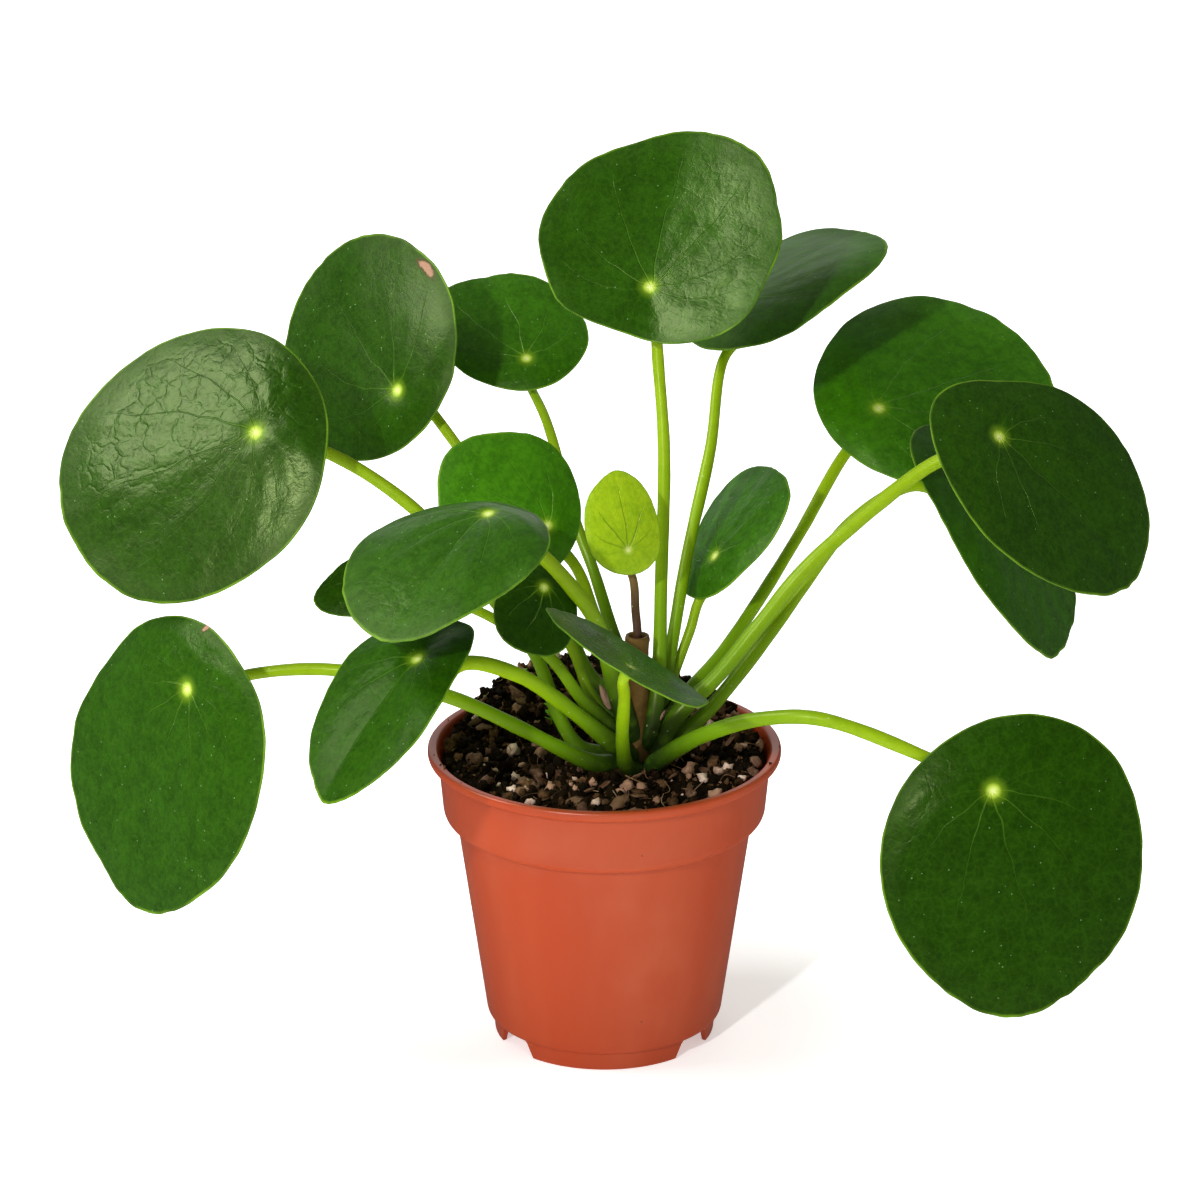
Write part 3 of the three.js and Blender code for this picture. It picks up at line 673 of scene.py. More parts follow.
def stalk_look(name):
    """A juicy stalk: painted shade at its foot, bright towards the blade, with pale pores."""
    given = shader_group(name, {
        "Place": (0, 0, 0), "Along": 0.5, "Distance": 50.0, "Foot": (0.012, 0.03, 0.004, 1),
        "Middle": (0.10, 0.24, 0.008, 1), "Top": (0.33, 0.50, 0.02, 1),
    })
    place = given["Place"]
    shade = cloud(place, 60.0, 3.0)
    streak = cloud(place, 260.0)
    reach = given["Distance"] + (shade - 0.5) * 8.0
    colour = layered(
        given["Foot"],
        # Painted shade: the stalk is darkest at its foot, among the crowded stalks of the crown.
        (fade(reach, 14.0, 42.0), given["Middle"]),
        (fade(given["Along"], 0.15, 0.85), given["Top"]),
        (fade(streak, 0.45, 0.75, 0.0, 0.25), given["Middle"]),
        (specks(place, 420.0, 0.08, 0.16, 0.8) * 0.5, (0.6, 0.7, 0.35, 1)),
    )
    return closed_look(given, colour, fade(shade, 0.3, 0.7, 0.30, 0.42), streak * 0.10)


def plastic_look(name):
    """Moulded plastic: a fine grain, faint flow bands and a little dust in patches."""
    given = shader_group(name, {
        "Place": (0, 0, 0), "Body": (0.5, 0.1, 0.04, 1), "Dust": (0.60, 0.18, 0.08, 1),
        "Gloss Roughness": 0.38,
    })
    place, dust = given["Place"], given["Dust"]
    bands = put(given.tree, "ShaderNodeMapping", {"Vector": place, "Scale": (1, 1, 0.12)})[0]
    flow = cloud(bands, 45.0, 3.0)
    patch = cloud(place, 22.0, 4.0)
    colour = layered(
        given["Body"],
        (fade(flow, 0.35, 0.7, 0.0, 0.10), dust),
        (fade(patch, 0.52, 0.78, 0.0, 0.14), dust),
        (specks(place, 160.0, 0.04, 0.07, 0.93) * 0.7, (0.05, 0.02, 0.01, 1)),
    )
    dull = given["Gloss Roughness"] + (patch - 0.5) * 0.18
    return closed_look(given, colour, dull, cloud(place, 2600.0) * 0.035 + flow * 0.12)


def earth_look(name):
    """Peaty earth, bark, pumice and wood: mottled between three colours."""
    given = shader_group(name, {
        "Place": (0, 0, 0), "Tone": 0.5, "Dark": (0.006, 0.003, 0.002, 1),
        "Mid": (0.03, 0.016, 0.009, 1), "Light": (0.12, 0.07, 0.04, 1), "Dull": 0.9,
        "Relief": 0.5,
    })
    coarse = cloud(given["Place"], 260.0, 5.0, 0.65)
    grit = cloud(given["Place"], 1100.0, 3.0, 0.7)
    level = given["Tone"] * 0.6 + coarse * 0.7
    colour = layered(
        given["Dark"],
        (fade(level, 0.35, 0.75), given["Mid"]),
        (fade(level, 0.72, 1.02), given["Light"]),
        (fade(grit, 0.62, 0.78, 0.0, 0.5), given["Light"]),
    )
    relief = (coarse + grit * 0.4) * given["Relief"]
    return closed_look(given, colour, given["Dull"], relief)


# ---- Geometry node trees ----


def geometry_group(name, inputs):
    """An empty geometry tree with named inputs; gives its inputs."""
    tree = bpy.data.node_groups.new(name, "GeometryNodeTree")
    add_socket(tree, "Geometry", GEOMETRY)
    add_socket(tree, "Geometry", GEOMETRY, "OUTPUT")
    for label, kind in inputs.items():
        add_socket(tree, label, kind)
    return Outputs(tree.nodes.new("NodeGroupInput"))


def closed_tree(given, geometry):
    """Ends a geometry tree in realised instances that carry the finish."""
    tree = given.tree
    real = put(tree, "GeometryNodeRealizeInstances", {"Geometry": geometry})[0]
    dressed = {"Geometry": real, "Material": given["Finish"]}
    feed(tree.nodes.new("NodeGroupOutput"), {0: put(tree, "GeometryNodeSetMaterial", dressed)[0]})
    return tree


def run_tree(piece, tree, values, name):
    """Runs a geometry tree on a piece and gives the plain result."""
    modifier = piece.modifiers.new(tree.name, "NODES")
    modifier.node_group = tree
    for socket in tree.interface.items_tree:
        if socket.name in values:
            modifier[socket.identifier] = values[socket.name]
    return made_plain(piece, name)


def stored_on(geometry, name, value, domain="POINT"):
    inputs = {"Geometry": geometry, "Name": name, "Value": value}
    return put(geometry.tree, "GeometryNodeStoreNamedAttribute", inputs, data_type="FLOAT",
               domain=domain)[0]


def stalk_tree(name):
    """Follows a path with a round section that swells at its foot and at its top."""
    given = geometry_group(name, {
        "Foot Radius": NUMBER, "Top Radius": NUMBER, "Foot Swell": NUMBER, "Top Flare": NUMBER,
        "Length": NUMBER, "Rings": COUNT, "Sides": COUNT, "Finish": MATERIAL,
    })
    tree = given.tree
    curve = put(tree, "GeometryNodeMeshToCurve", {"Mesh": given["Geometry"]})[0]
    curve = put(tree, "GeometryNodeResampleCurve", {"Curve": curve, "Count": given["Rings"]})[0]
    spot = put(tree, "GeometryNodeSplineParameter")
    foot = fade(spot["Length"], 0.008, 0.040, given["Foot Swell"], 1.0)
    flare = fade(given["Length"] - spot["Length"], 0.0, 0.0035, given["Top Flare"], 1.0)
    bulge = cloud(put(tree, "GeometryNodeInputPosition")[0], 55.0, 1.0)
    radius = ramp(spot["Factor"], given["Foot Radius"], given["Top Radius"])
    radius = radius * (foot * flare) * fade(bulge, 0.3, 0.7, 0.95, 1.05)
    curve = stored_on(curve, "along", spot["Factor"])
    curve = stored_on(curve, "distance", spot["Length"])
    circle = {"Resolution": given["Sides"], "Radius": 1.0}
    ring = put(tree, "GeometryNodeCurvePrimitiveCircle", circle)[0]
    tube = put(tree, "GeometryNodeCurveToMesh", {
        "Curve": curve, "Profile Curve": ring, "Scale": radius, "Fill Caps": True,
    })[0]
    return closed_tree(given, put(tree, "GeometryNodeSetShadeSmooth", {"Geometry": tube})[0])


def scatter_tree(name):
    """Strews copies of a few shapes over a surface, each with its own turn and size."""
    given = geometry_group(name, {
        "Shapes": COLLECTION, "Spacing": NUMBER, "Density": NUMBER, "Smallest": NUMBER,
        "Largest": NUMBER, "Tumble": NUMBER, "Lift": NUMBER, "Seed": COUNT, "Finish": MATERIAL,
    })
    tree = given.tree

    def luck(low, high, kind="FLOAT", seed=given["Seed"]):
        ends = {0: low, 1: high} if kind == "FLOAT_VECTOR" else {2: low, 3: high}
        return put(tree, "FunctionNodeRandomValue", {**ends, "Seed": seed}, data_type=kind)

    strewn = put(tree, "GeometryNodeDistributePointsOnFaces", {
        "Mesh": given["Geometry"], "Distance Min": given["Spacing"],
        "Density Max": given["Density"], "Seed": given["Seed"],
    }, distribute_method="POISSON")
    shapes = put(tree, "GeometryNodeCollectionInfo", {
        "Collection": given["Shapes"], "Separate Children": True, "Reset Children": True,
    })[0]
    tumble = put(tree, "ShaderNodeCombineXYZ",
                 {0: given["Tumble"], 1: given["Tumble"], 2: math.pi})[0]
    turn = luck((-1, -1, -1), (1, 1, 1), "FLOAT_VECTOR")[0].vector("MULTIPLY", {1: tumble})
    spin = put(tree, "FunctionNodeRotateRotation",
               {"Rotation": strewn["Rotation"], "Rotate By": turn}, rotation_space="LOCAL")[0]
    skewed = luck(0.0, 1.0)[1].calc("POWER", 2.2)
    size = ramp(skewed, given["Smallest"], given["Largest"])
    lifted = put(tree, "GeometryNodeSetPosition", {
        "Geometry": strewn["Points"], "Offset": strewn["Normal"] * (size * given["Lift"]),
    })[0]
    bits = put(tree, "GeometryNodeInstanceOnPoints", {
        "Points": lifted, "Instance": shapes, "Pick Instance": True, "Rotation": spin,
        "Scale": size,
    })[0]
    return closed_tree(given, stored_on(bits, "tone", luck(0.0, 1.0, seed=7)[1], "INSTANCE"))


# ---- Settings ----


LENGTH = dict(subtype="DISTANCE", unit="LENGTH")
ANGLE = dict(subtype="ANGLE", unit="ROTATION")
POWER = dict(unit="POWER", min=0)


def setting(kind, name, description, default, **more):
    made = getattr(bpy.props, kind + "Property")
    return made(name=name, description=description, default=default, **more)


def colour_setting(name, description, default):
    return setting("FloatVector", name, description, (*default, 1.0), subtype="COLOR", size=4,
                   min=0, max=1)


class PotSettings(bpy.types.PropertyGroup):
    segments: setting("Int", "Segments", "Sides of the pot's round wall", 144, min=24, max=360)
    body: colour_setting("Plastic", "Colour of the moulded plastic", (0.40, 0.047, 0.008))
    roughness: setting("Float", "Roughness", "How dull the plastic is", 0.33, min=0, max=1,
                       subtype="FACTOR")


class SoilSettings(bpy.types.PropertyGroup):
    seed: setting("Int", "Seed", "Which scatter of grains is used", 5, min=0)
    clod_spacing: setting("Float", "Clod Spacing", "Least distance between clods", 0.0018,
                          min=0.001, max=0.02, **LENGTH)
    clod_size: setting("Float", "Clod Size", "Radius of the largest clods", 0.0030,
                       min=0.001, max=0.01, **LENGTH)
    dark: colour_setting("Peat", "Darkest colour of the earth", (0.003, 0.0015, 0.0005))
    light: colour_setting("Crumb", "Lightest colour of the earth", (0.17, 0.085, 0.038))


class BladeSettings(bpy.types.PropertyGroup):
    sectors: setting("Int", "Sectors", "Divisions round each blade", 180, min=24, max=240)
    rings: setting("Int", "Rings", "Divisions from the pale spot to the edge", 30, min=8, max=80)
    thickness: setting("Float", "Thickness", "Thickness at the pale spot", 0.9 * MM,
                       min=0.3 * MM, max=3 * MM, **LENGTH)
    deep: colour_setting("Deep Green", "Colour of the darker patches", (0.011, 0.05, 0.0006))
    bright: colour_setting("Bright Green", "Colour of the lighter patches", (0.021, 0.085, 0.001))
    spot: colour_setting("Pale Spot", "Colour where the stalk joins", (0.42, 0.56, 0.06))
    # The edge colour is partly the margin's own paler green and partly painted rim highlight.
    edge: colour_setting("Edge", "Colour of the thin bright edge", (0.15, 0.30, 0.010))


class StalkSettings(bpy.types.PropertyGroup):
    sides: setting("Int", "Sides", "Divisions round each stalk", 20, min=8, max=64)
    ring_step: setting("Float", "Ring Step", "Distance between rings along a stalk", 0.0022,
                       min=0.0005, max=0.02, **LENGTH)
    middle: colour_setting("Middle", "Colour half way up a stalk", (0.125, 0.26, 0.002))
    top: colour_setting("Top", "Colour of a stalk near its blade", (0.28, 0.43, 0.004))


class StageSettings(bpy.types.PropertyGroup):
    camera_at: setting("FloatVector", "Camera", "Camera place from the pot's axis",
                       (-0.00149, -1.7868, 0.8352), size=3, subtype="TRANSLATION", unit="LENGTH")
    camera_pitch: setting("Float", "Pitch", "Camera tilt up from straight down",
                          math.radians(69.2), **ANGLE)
    field: setting("Float", "Field of View", "Angle across the picture", math.radians(12.04),
                   **ANGLE)
    key_power: setting("Float", "Key Light", "Power of the lamp in front that casts the shadows",
                       17.5, **POWER)
    side_power: setting("Float", "Side Light", "Power of the soft light on the left", 24.0,
                        **POWER)
    back_power: setting("Float", "Back Light", "Power of the long panel behind", 7.0, **POWER)
    floor_glow: setting("Float", "Floor Glow", "Light that the pale floor gives off", 0.45, min=0)
    world_light: setting("Float", "Surround", "Brightness of the pale room", 0.33, min=0)
    world_mirror: setting("Float", "Mirrored Surround",
                          "Brightness of the room as things mirror it", 0.12, min=0)


def settings(part):
    return getattr(bpy.context.scene, f"pilea_{part}")


# ---- Pot ----


def cutters():
    """The notches in the foot and the drain holes, as one object to cut with."""
    shape = bmesh.new()
    top, base = NOTCH_WIDTHS
    right = [
        (base / 2, -1), (top / 2 + 0.4, NOTCH_HEIGHT - 1.2),
        (top / 2 - 0.6, NOTCH_HEIGHT - 0.2), (top / 2 - 1.6, NOTCH_HEIGHT),
    ]
    outline = [(-base / 2, -1)] + right + [(-y, z) for y, z in reversed(right[1:])]
    for degrees in NOTCH_ANGLES:
        spin = Matrix.Rotation(math.radians(degrees), 4, "Z")
        near, far = ([shape.verts.new(spin @ Vector((x, y, z))) for y, z in outline]
                     for x in NOTCH_REACH)
        shape.faces.new(near)
        shape.faces.new(list(reversed(far)))
        for k in range(len(outline)):
            n = (k + 1) % len(outline)
            shape.faces.new((near[k], far[k], far[n], near[n]))
    for hole in range(DRAIN_HOLES):
        turn = 2 * math.pi * hole / DRAIN_HOLES
        at = Vector((math.sin(turn), -math.cos(turn), 0)) * DRAIN_DISTANCE
        bmesh.ops.create_cone(
            shape, cap_ends=True, segments=32, radius1=DRAIN_RADIUS, radius2=DRAIN_RADIUS,
            depth=6, matrix=Matrix.Translation(at + Vector((0, 0, POT_FLOOR))))
    bmesh.ops.recalc_face_normals(shape, faces=shape.faces)
    return shell_object("pot_cutters", shape, smooth=False)


class PILEA_OT_pot(bpy.types.Operator):
    """Build the nursery pot with its rolled lip, collar, feet and drain holes"""

    bl_idname = "pilea.pot"
    bl_label = "Pot"

    def execute(self, context):
        given = settings("pot")
        body = turned("nursery_pot", fillet(POT_PROFILE), given.segments)
        face_out(body)
        cutter = cutters()
        cut = body.modifiers.new("Notches", "BOOLEAN")
        cut.operation = "DIFFERENCE"
        cut.object = cutter
        cut.solver = "EXACT"
        body = placed(made_plain(body, "nursery_pot"), (0, 0, 0))
        bpy.data.objects.remove(cutter)
        body.data.set_sharp_from_angle(angle=SHARP)
        finish = surface(
            "terracotta plastic", shared_tree("Moulded Plastic", plastic_look),
            {"Place": own_place, "Body": given.body, "Gloss Roughness": given.roughness})
        finished(body, "pot", finish)
        return {"FINISHED"}


# ---- Soil ----


def soil_level(x, y):
    """Height of the soil in millimetres, with its mound and lumps."""
    mx, my, rise, spread_x, spread_y = SOIL_MOUND
    away = math.hypot((x - mx) / spread_x, (y - my) / spread_y)
    reach = math.hypot(x, y) / SOIL_RADIUS
    level = SOIL_EDGE + rise * math.exp(-away * away / 2) * max(1 - 0.5 * reach**18, 0)
    level += 2.2 * grain(1, x / 11, y / 11) + 1.8 * grain(2, x / 4.5, y / 4.5)
    level += 0.9 * grain(3, x / 2, y / 2)
    return level - 1.6 * ease(0.93, 1.0, reach)


def lump(name, seed, stretch=(1, 0.85, 0.7), rough=0.75):
    """A rough pebble or clod of about unit radius."""
    ball = bmesh.new()
    bmesh.ops.create_icosphere(ball, subdivisions=2, radius=1)
    for v in ball.verts:
        push = 1 + rough * (grain(seed, *(v.co * 1.3)) + 0.9 * grain(seed + 9, *(v.co * 2.7)))
        v.co = Vector([c * s for c, s in zip(v.co, stretch)]) * push
    return shell_object(name, ball)


def chip(name, seed):
    """A flat splinter of bark."""
    return lump(name, seed + 40, stretch=(1.5, 0.7, 0.22), rough=0.45)


def fibre(name, seed):
    """A thin bent root fibre."""
    luck = random.Random(seed)
    sides, steps = 4, 7
    points = []
    bend = [luck.uniform(-1, 1) for _ in range(4)]
    for i in range(steps):
        t = i / (steps - 1)
        centre = Vector((2.4 * (t - 0.5), bend[0] * math.sin(3 * t) + bend[1] * t * t,
                         0.5 * bend[2] * math.sin(4 * t + bend[3]) + 0.25))
        radius = 0.075 * (1 - 0.6 * t)
        for k in range(sides):
            c, s = polar(sides, k)
            points.append(centre + Vector((0, radius * c, radius * s)))
    rows = even_rows(steps, sides)
    return mesh_object(name, points, ring_faces(rows) + [rows[0], rows[-1][::-1]])


def soil_top(name, low=0.0, high=0.97, rings=30, sectors=100, level=soil_level):
    """A surface between two shares of the soil's radius, for strewing on."""
    points = []
    for i in range(rings + 1):
        reach = between(low, high, i / rings) * SOIL_RADIUS
        for k in range(sectors):
            c, s = polar(sectors, k)
            x, y = reach * c, reach * s
            points.append(from_axis(x, y, level(x, y)))
    return mesh_object(name, points, ring_faces(even_rows(rings + 1, sectors)))


def earth(name, colours, **values):
    look = shared_tree("Earth and Bark", earth_look)
    full = {"Place": own_place, **values}
    for label, colour in zip(("Dark", "Mid", "Light"), colours):
        full[label] = (*colour[:3], 1)
    return surface(name, look, full, Specular_IOR_Level=0.15, Specular_Tint=EARTH_SHEEN)


class PILEA_OT_soil(bpy.types.Operator):
    """Build the potting soil with its clods, bark, pumice and fibres"""

    bl_idname = "pilea.soil"
    bl_label = "Soil"

    def execute(self, context):
        given = settings("soil")
        peat = (given.dark, SOIL_MIDDLE, given.light)
        self.bed(earth("peaty soil", peat, Tone=0.3, Dull=0.95))
        tone = stored("tone")
        finishes = {
            "clod": earth("soil clods", peat, Tone=tone, Dull=0.92, Relief=1.1),
            "bark": earth("bark chips", ((0.018, 0.008, 0.004), (0.07, 0.03, 0.015),
                                         (0.2, 0.11, 0.06)), Tone=tone, Dull=0.8),
            "pumice": earth("pumice grit", ((0.10, 0.05, 0.03), (0.44, 0.24, 0.15),
                                            (0.95, 0.72, 0.58)), Tone=tone, Dull=0.7, Relief=0.8),
            "root": earth("root fibres", ((0.06, 0.03, 0.015), (0.22, 0.12, 0.06),
                                          (0.45, 0.30, 0.18)), Tone=tone, Dull=0.8),
        }
        makers = {"lump": lump, "chip": chip, "fibre": fibre}
        tree = shared_tree("Strewn Bits", scatter_tree)
        for i, row in enumerate(STREWN):
            name, shape, finish, spacing, density, least, most, tumble, lift = row
            if finish == "clod":
                least, most = least * given.clod_size, most * given.clod_size
            shapes = bpy.data.collections.new(f"{name}_shapes")
            for k in range(SHAPES_PER_KIND):
                made = makers[shape](f"{shapes.name}_{k}", k)
                bpy.context.scene.collection.objects.unlink(made)
                shapes.objects.link(made)
            values = {
                "Shapes": shapes, "Spacing": spacing or given.clod_spacing,
                "Density": float(density), "Smallest": least, "Largest": most,
                "Tumble": tumble, "Lift": lift, "Seed": given.seed + i,
                "Finish": finishes[finish],
            }
            if name == "lip_crumbs":
                ground = soil_top(name, *LIP_RING, 1, level=lambda x, y: LIP_TOP)
            else:
                ground = soil_top(name)
            finished(run_tree(ground, tree, values, name), None)
            for made in list(shapes.objects):
                bpy.data.objects.remove(made)
            bpy.data.collections.remove(shapes)
        return {"FINISHED"}

    def bed(self, finish):
        """The body of soil: a closed lump whose top is finely uneven."""
        sectors, rings = 180, 64
        points = [from_axis(0, 0, SOIL_WALL[0][1])]
        rings_up = SOIL_WALL + [(SOIL_RADIUS * (1 - i / rings), None) for i in range(rings)]
        for r, z in rings_up:
            for k in range(sectors):
                c, s = polar(sectors, k)
                x, y = r * c, r * s
                points.append(from_axis(x, y, soil_level(x, y) if z is None else z))
        points.append(from_axis(0, 0, soil_level(0, 0)))
        rows = [[0]] + even_rows(len(rings_up), sectors, 1) + [[len(points) - 1]]
        bed = mesh_object("soil_bed", points, ring_faces(rows))
        finished(bed, "potting_soil", finish)


# ---- Stem, scales and seedlings ----


class PILEA_OT_stem(bpy.types.Operator):
    """Build the cut-back stem, the dry scales and the weed seedlings"""

    bl_idname = "pilea.stem"
    bl_label = "Stem and Scales"

    def execute(self, context):
        self.stem()
        finish = earth("dry scales", ((0.12, 0.06, 0.035), (0.36, 0.22, 0.15),
                                      (0.62, 0.45, 0.34)), Tone=0.5, Dull=0.75, Relief=0.3)
        for row in SCALES:
            self.scale(row, finish)
        finish = earth("seedlings", ((0.09, 0.26, 0.01), (0.20, 0.48, 0.02),
                                     (0.40, 0.65, 0.06)), Tone=0.5, Dull=0.5, Relief=0.1)
        for row in SEEDLINGS:
            self.seedling(*row, finish)
        return {"FINISHED"}

    def stem(self):
        def wobble(x, y, z):
            scar = 0.35 * max(grain(4, x * 0.7, y * 0.7, z / 2.1), 0)
            return scar + 0.22 * grain(5, x * 2.5, y * 2.5, z / 9) if 94 < z < 147.2 else 0

        rows = []
        for (r0, z0), (r1, z1) in zip(STEM_PROFILE, STEM_PROFILE[1:]):
            steps = max(1, round(abs(z1 - z0) / 0.7))
            for k in range(steps):
                rows.append((between(r0, r1, k / steps), between(z0, z1, k / steps)))
        rows.append(STEM_PROFILE[-1])
        stem = placed(turned("cut_stem", rows, 48, wobble), (*STEM_AT, 0))
        finish = earth("stem bark", ((0.030, 0.017, 0.005), (0.105, 0.060, 0.014),
                                     (0.20, 0.13, 0.035)), Tone=0.5, Dull=0.5, Relief=0.3)
        finished(stem, "main_stem", finish)

    def scale(self, row, finish):
        """A dry, pointed, curled flake with a little thickness."""
        wide, tall = row["size"]
        steps, across = 14, 8
        points, faces = [], []
        for side in (1, -1):
            for i in range(steps + 1):
                t = i / steps
                half = wide * math.sin(math.pi * min(t * 0.94 + 0.04, 1)) ** 0.7 * (1.1 - 0.5 * t)
                for k in range(across + 1):
                    u = 2 * k / across - 1
                    cup = 1.1 * u * u * half / wide + 1.4 * (t - 0.3) ** 2
                    edge = 0.16 * (1 - u * u) * math.sin(math.pi * t)
                    out = cup + side * edge + 0.25 * grain(6, u, t * 3)
                    points.append((u * half, out, t * tall))
        grid = (steps + 1) * (across + 1)
        for i in range(steps):
            for k in range(across):
                a = i * (across + 1) + k
                b = a + across + 1
                faces.append((a, a + 1, b + 1, b))
                faces.append((a + grid, b + grid, b + 1 + grid, a + 1 + grid))
        flake = mesh_object(row["node"] + "_flake", points, faces)
        edit_mesh(flake, lambda shell: bmesh.ops.remove_doubles(
            shell, verts=shell.verts, dist=0.002))
        turn = Matrix.Rotation(math.radians(row["turn"]), 4, "Z")
        flake.data.transform(turn @ Matrix.Rotation(math.radians(row["lean"]), 4, "Y"))
        finished(placed(flake, row["at"]), row["node"], finish)

    def seedling(self, node, at, height, finish):
        """A thin shoot with pairs of small rounded leaflets."""
        shoot = bmesh.new()
        bmesh.ops.create_cone(
            shoot, cap_ends=True, segments=8, radius1=0.4, radius2=0.2, depth=height + 2,
            matrix=Matrix.Translation((0, 0, height / 2 - 1)))
        for pair in range(LEAFLET_PAIRS):
            for side in (0, 1):
                turn = math.radians(70 * pair + 180 * side)
                place = (Matrix.Translation((0, 0, height * (1 - 0.22 * pair)))
                         @ Matrix.Rotation(turn, 4, "Z")
                         @ Matrix.Rotation(math.radians(-28), 4, "Y")
                         @ Matrix.Translation((1.3, 0, 0)) @ Matrix.Diagonal((1.7, 0.9, 0.22, 1)))
                bmesh.ops.create_icosphere(shoot, subdivisions=2, radius=1, matrix=place)
        made = placed(shell_object(node + "_shoot", shoot), (*at, soil_level(*at)))
        finished(made, node, finish)


# ---- Leaves ----


def blade_axes(leaf):
    """The blade's directions: towards its tip, towards its left edge, out of its face."""
    a, t, w = (math.radians(degrees) for degrees in leaf["pose"])
    face = Vector((math.cos(a) * math.sin(t), math.sin(a) * math.sin(t), math.cos(t)))
    downhill = Vector((math.cos(a) * math.cos(t), math.sin(a) * math.cos(t), -math.sin(t)))
    tip = Matrix.Rotation(w, 3, face) @ downhill
    return tip, face.cross(tip), face


def blade_shape(leaf, seed, given):
    """The blade as a closed skin of top, rim and underside, with values for its finish."""
    tip, side, face = blade_axes(leaf)
    (length, width), (dome, droop) = leaf["size"], leaf["bow"]
    size = length / MIDDLING_LEAF
    thick = given.thickness / MM
    sectors, rings = given.sectors, given.rings

    def rim(angle):
        c, s = math.cos(angle), math.sin(angle)
        crimp = 1 + 0.004 * grain(seed + 1, 6 * c, 6 * s) + 0.006 * grain(seed + 6, 10 * c, 10 * s)
        for k, (cosine, sine) in enumerate(leaf["rim"]):
            crimp += (cosine * math.cos(k * angle) + sine * math.sin(k * angle)) / 100
        along = length * (c / 2 + 0.5 - leaf["spot"] + leaf["skew"] * s * abs(s))
        across = width / 2 * s * (1 - leaf["egg"] * c) * (1 - leaf["point"] * max(c, 0) ** 6)
        return along * crimp, across * crimp

    def height(reach, angle, along, across):
        """Sag, dimple, pillows between the main veins and a slow waviness."""
        soft = math.sqrt(across * across + 4) - 2
        sag = dome * length * reach**2 + leaf["fold"] * soft
        sag += droop * length * (max(along, 0) / length) ** 2
        away = math.hypot(along, across)
        course = angle / (1 - VEIN_CURL * reach) / VEIN_STEP
        pillow = -math.cos(2 * math.pi * course) * ease(0.05, 0.45, reach) * (1 - reach**6)
        up = leaf["pillow"] * size * pillow
        up -= 0.9 * size * math.exp(-((away / (5 * size)) ** 2))
        up += 1.2 * size * reach * grain(seed + 2, along / 30, across / 30)
        up += 0.12 * size * grain(seed + 3, along / 10, across / 10) * ease(0.1, 0.4, reach)
        c, s = math.cos(angle), math.sin(angle)
        up += 1.2 * size * reach**5 * grain(seed + 4, 1.7 * c, 1.7 * s)
        up += 0.35 * size * reach**12 * grain(seed + 5, 5 * c, 5 * s)
        for at, depth, spread in leaf["folds"]:
            apart = (math.degrees(angle) - at + 180) % 360 - 180
            up -= depth * size * reach * math.exp(-((apart / spread) ** 2))
        return up - sag

    points, reaches, flats, unders = [], [], [], []
    spot_place = from_axis(*leaf["at"])

    def add(along, across, out, reach, under):
        points.append(spot_place + (tip * along + side * across + face * out) * MM)
        reaches.append(reach)
        flats.append((along / 10, across / 10, 0))
        unders.append(under)

    steps = [(i / rings) ** 0.85 for i in range(1, rings + 1)]
    cap = [math.radians(90 - 36 * k) for k in range(1, 5)]
    rows = [(reach, 1.0, 0.0, 0) for reach in steps]
    rows += [(1.0, math.sin(a), math.cos(a), 0.5 - 0.5 * math.sin(a)) for a in cap]
    rows += [(reach, -1.0, 0.0, 1) for reach in reversed(steps)]
    add(0, 0, height(0, 0, 0, 0), 0, 0)
    for reach, skin, bulge, under in rows:
        for k in range(sectors):
            angle = 2 * math.pi * k / sectors - math.pi
            along, across = rim(angle)
            full = math.hypot(along, across)
            half = thick / 2 * (1 - 0.3 * reach**2)
            shrink = (full - half * (1 - bulge)) / full
            along, across = along * reach * shrink, across * reach * shrink
            middle = height(reach, angle, along, across) - thick / 2
            add(along, across, middle + half * skin, reach, under)
    add(0, 0, height(0, 0, 0, 0) - thick, 0, 1)
    layers = [[0]] + even_rows(len(rows), sectors, 1) + [[len(points) - 1]]
    blade = mesh_object(leaf["name"] + "_leaf", points, ring_faces(layers))
    add_values(blade, "reach", reaches)
    add_values(blade, "underside", unders)
    add_values(blade, "flat", flats, "FLOAT_VECTOR")
    return blade


def toned(colour, tone):
    """A colour made darker or lighter."""
    return [c * tone for c in colour[:3]] + [1]


class PILEA_OT_blades(bpy.types.Operator):
    """Build the round leaf blades"""

    bl_idname = "pilea.blades"
    bl_label = "Leaf Blades"

    def execute(self, context):
        given = settings("blade")
        look = shared_tree("Blade Surface", blade_look)
        for seed, leaf in enumerate(LEAVES):
            young = leaf["name"] == "youngest"
            blade = blade_shape(leaf, seed * 3 + 11, given)
            values = {
                "Place": stored("flat", "Vector"), "Reach": stored("reach"),
                "Underside": stored("underside"), "Seed": (seed * 5.3, seed * 2.9, 0),
                # The tone is partly painted light and shade: it lightens or darkens each leaf's
                # green to how the leaf is lit.
                "Deep": toned(given.deep, leaf["tone"]),
                "Bright": toned(given.bright, leaf["tone"]),
                "Spot": given.spot, "Edge": given.edge,
                "Spot Size": 0.20 + 0.14 * leaf["size"][0] / MIDDLING_LEAF,
                "Quilting": leaf["quilt"], "Grain": leaf["grain"], "Halves": leaf["halves"],
                "Base Roughness": leaf["rough"],
                "Scar Place": (*leaf["scar"][:2], 0), "Scar Size": leaf["scar"][2],
            }
            if young:
                values.update({
                    "Deep": (0.22, 0.38, 0.005, 1), "Bright": (0.34, 0.50, 0.008, 1),
                    "Vein": (0.12, 0.20, 0.01, 1), "Back": (0.3, 0.42, 0.05, 1), "Grain": 1.2,
                })
            finish = surface(leaf["name"] + " leaf", look, values,
                             Specular_IOR_Level=leaf["gloss"], Specular_Tint=LEAF_SHEEN)
            finished(blade, "blade_" + leaf["name"], finish)
        return {"FINISHED"}


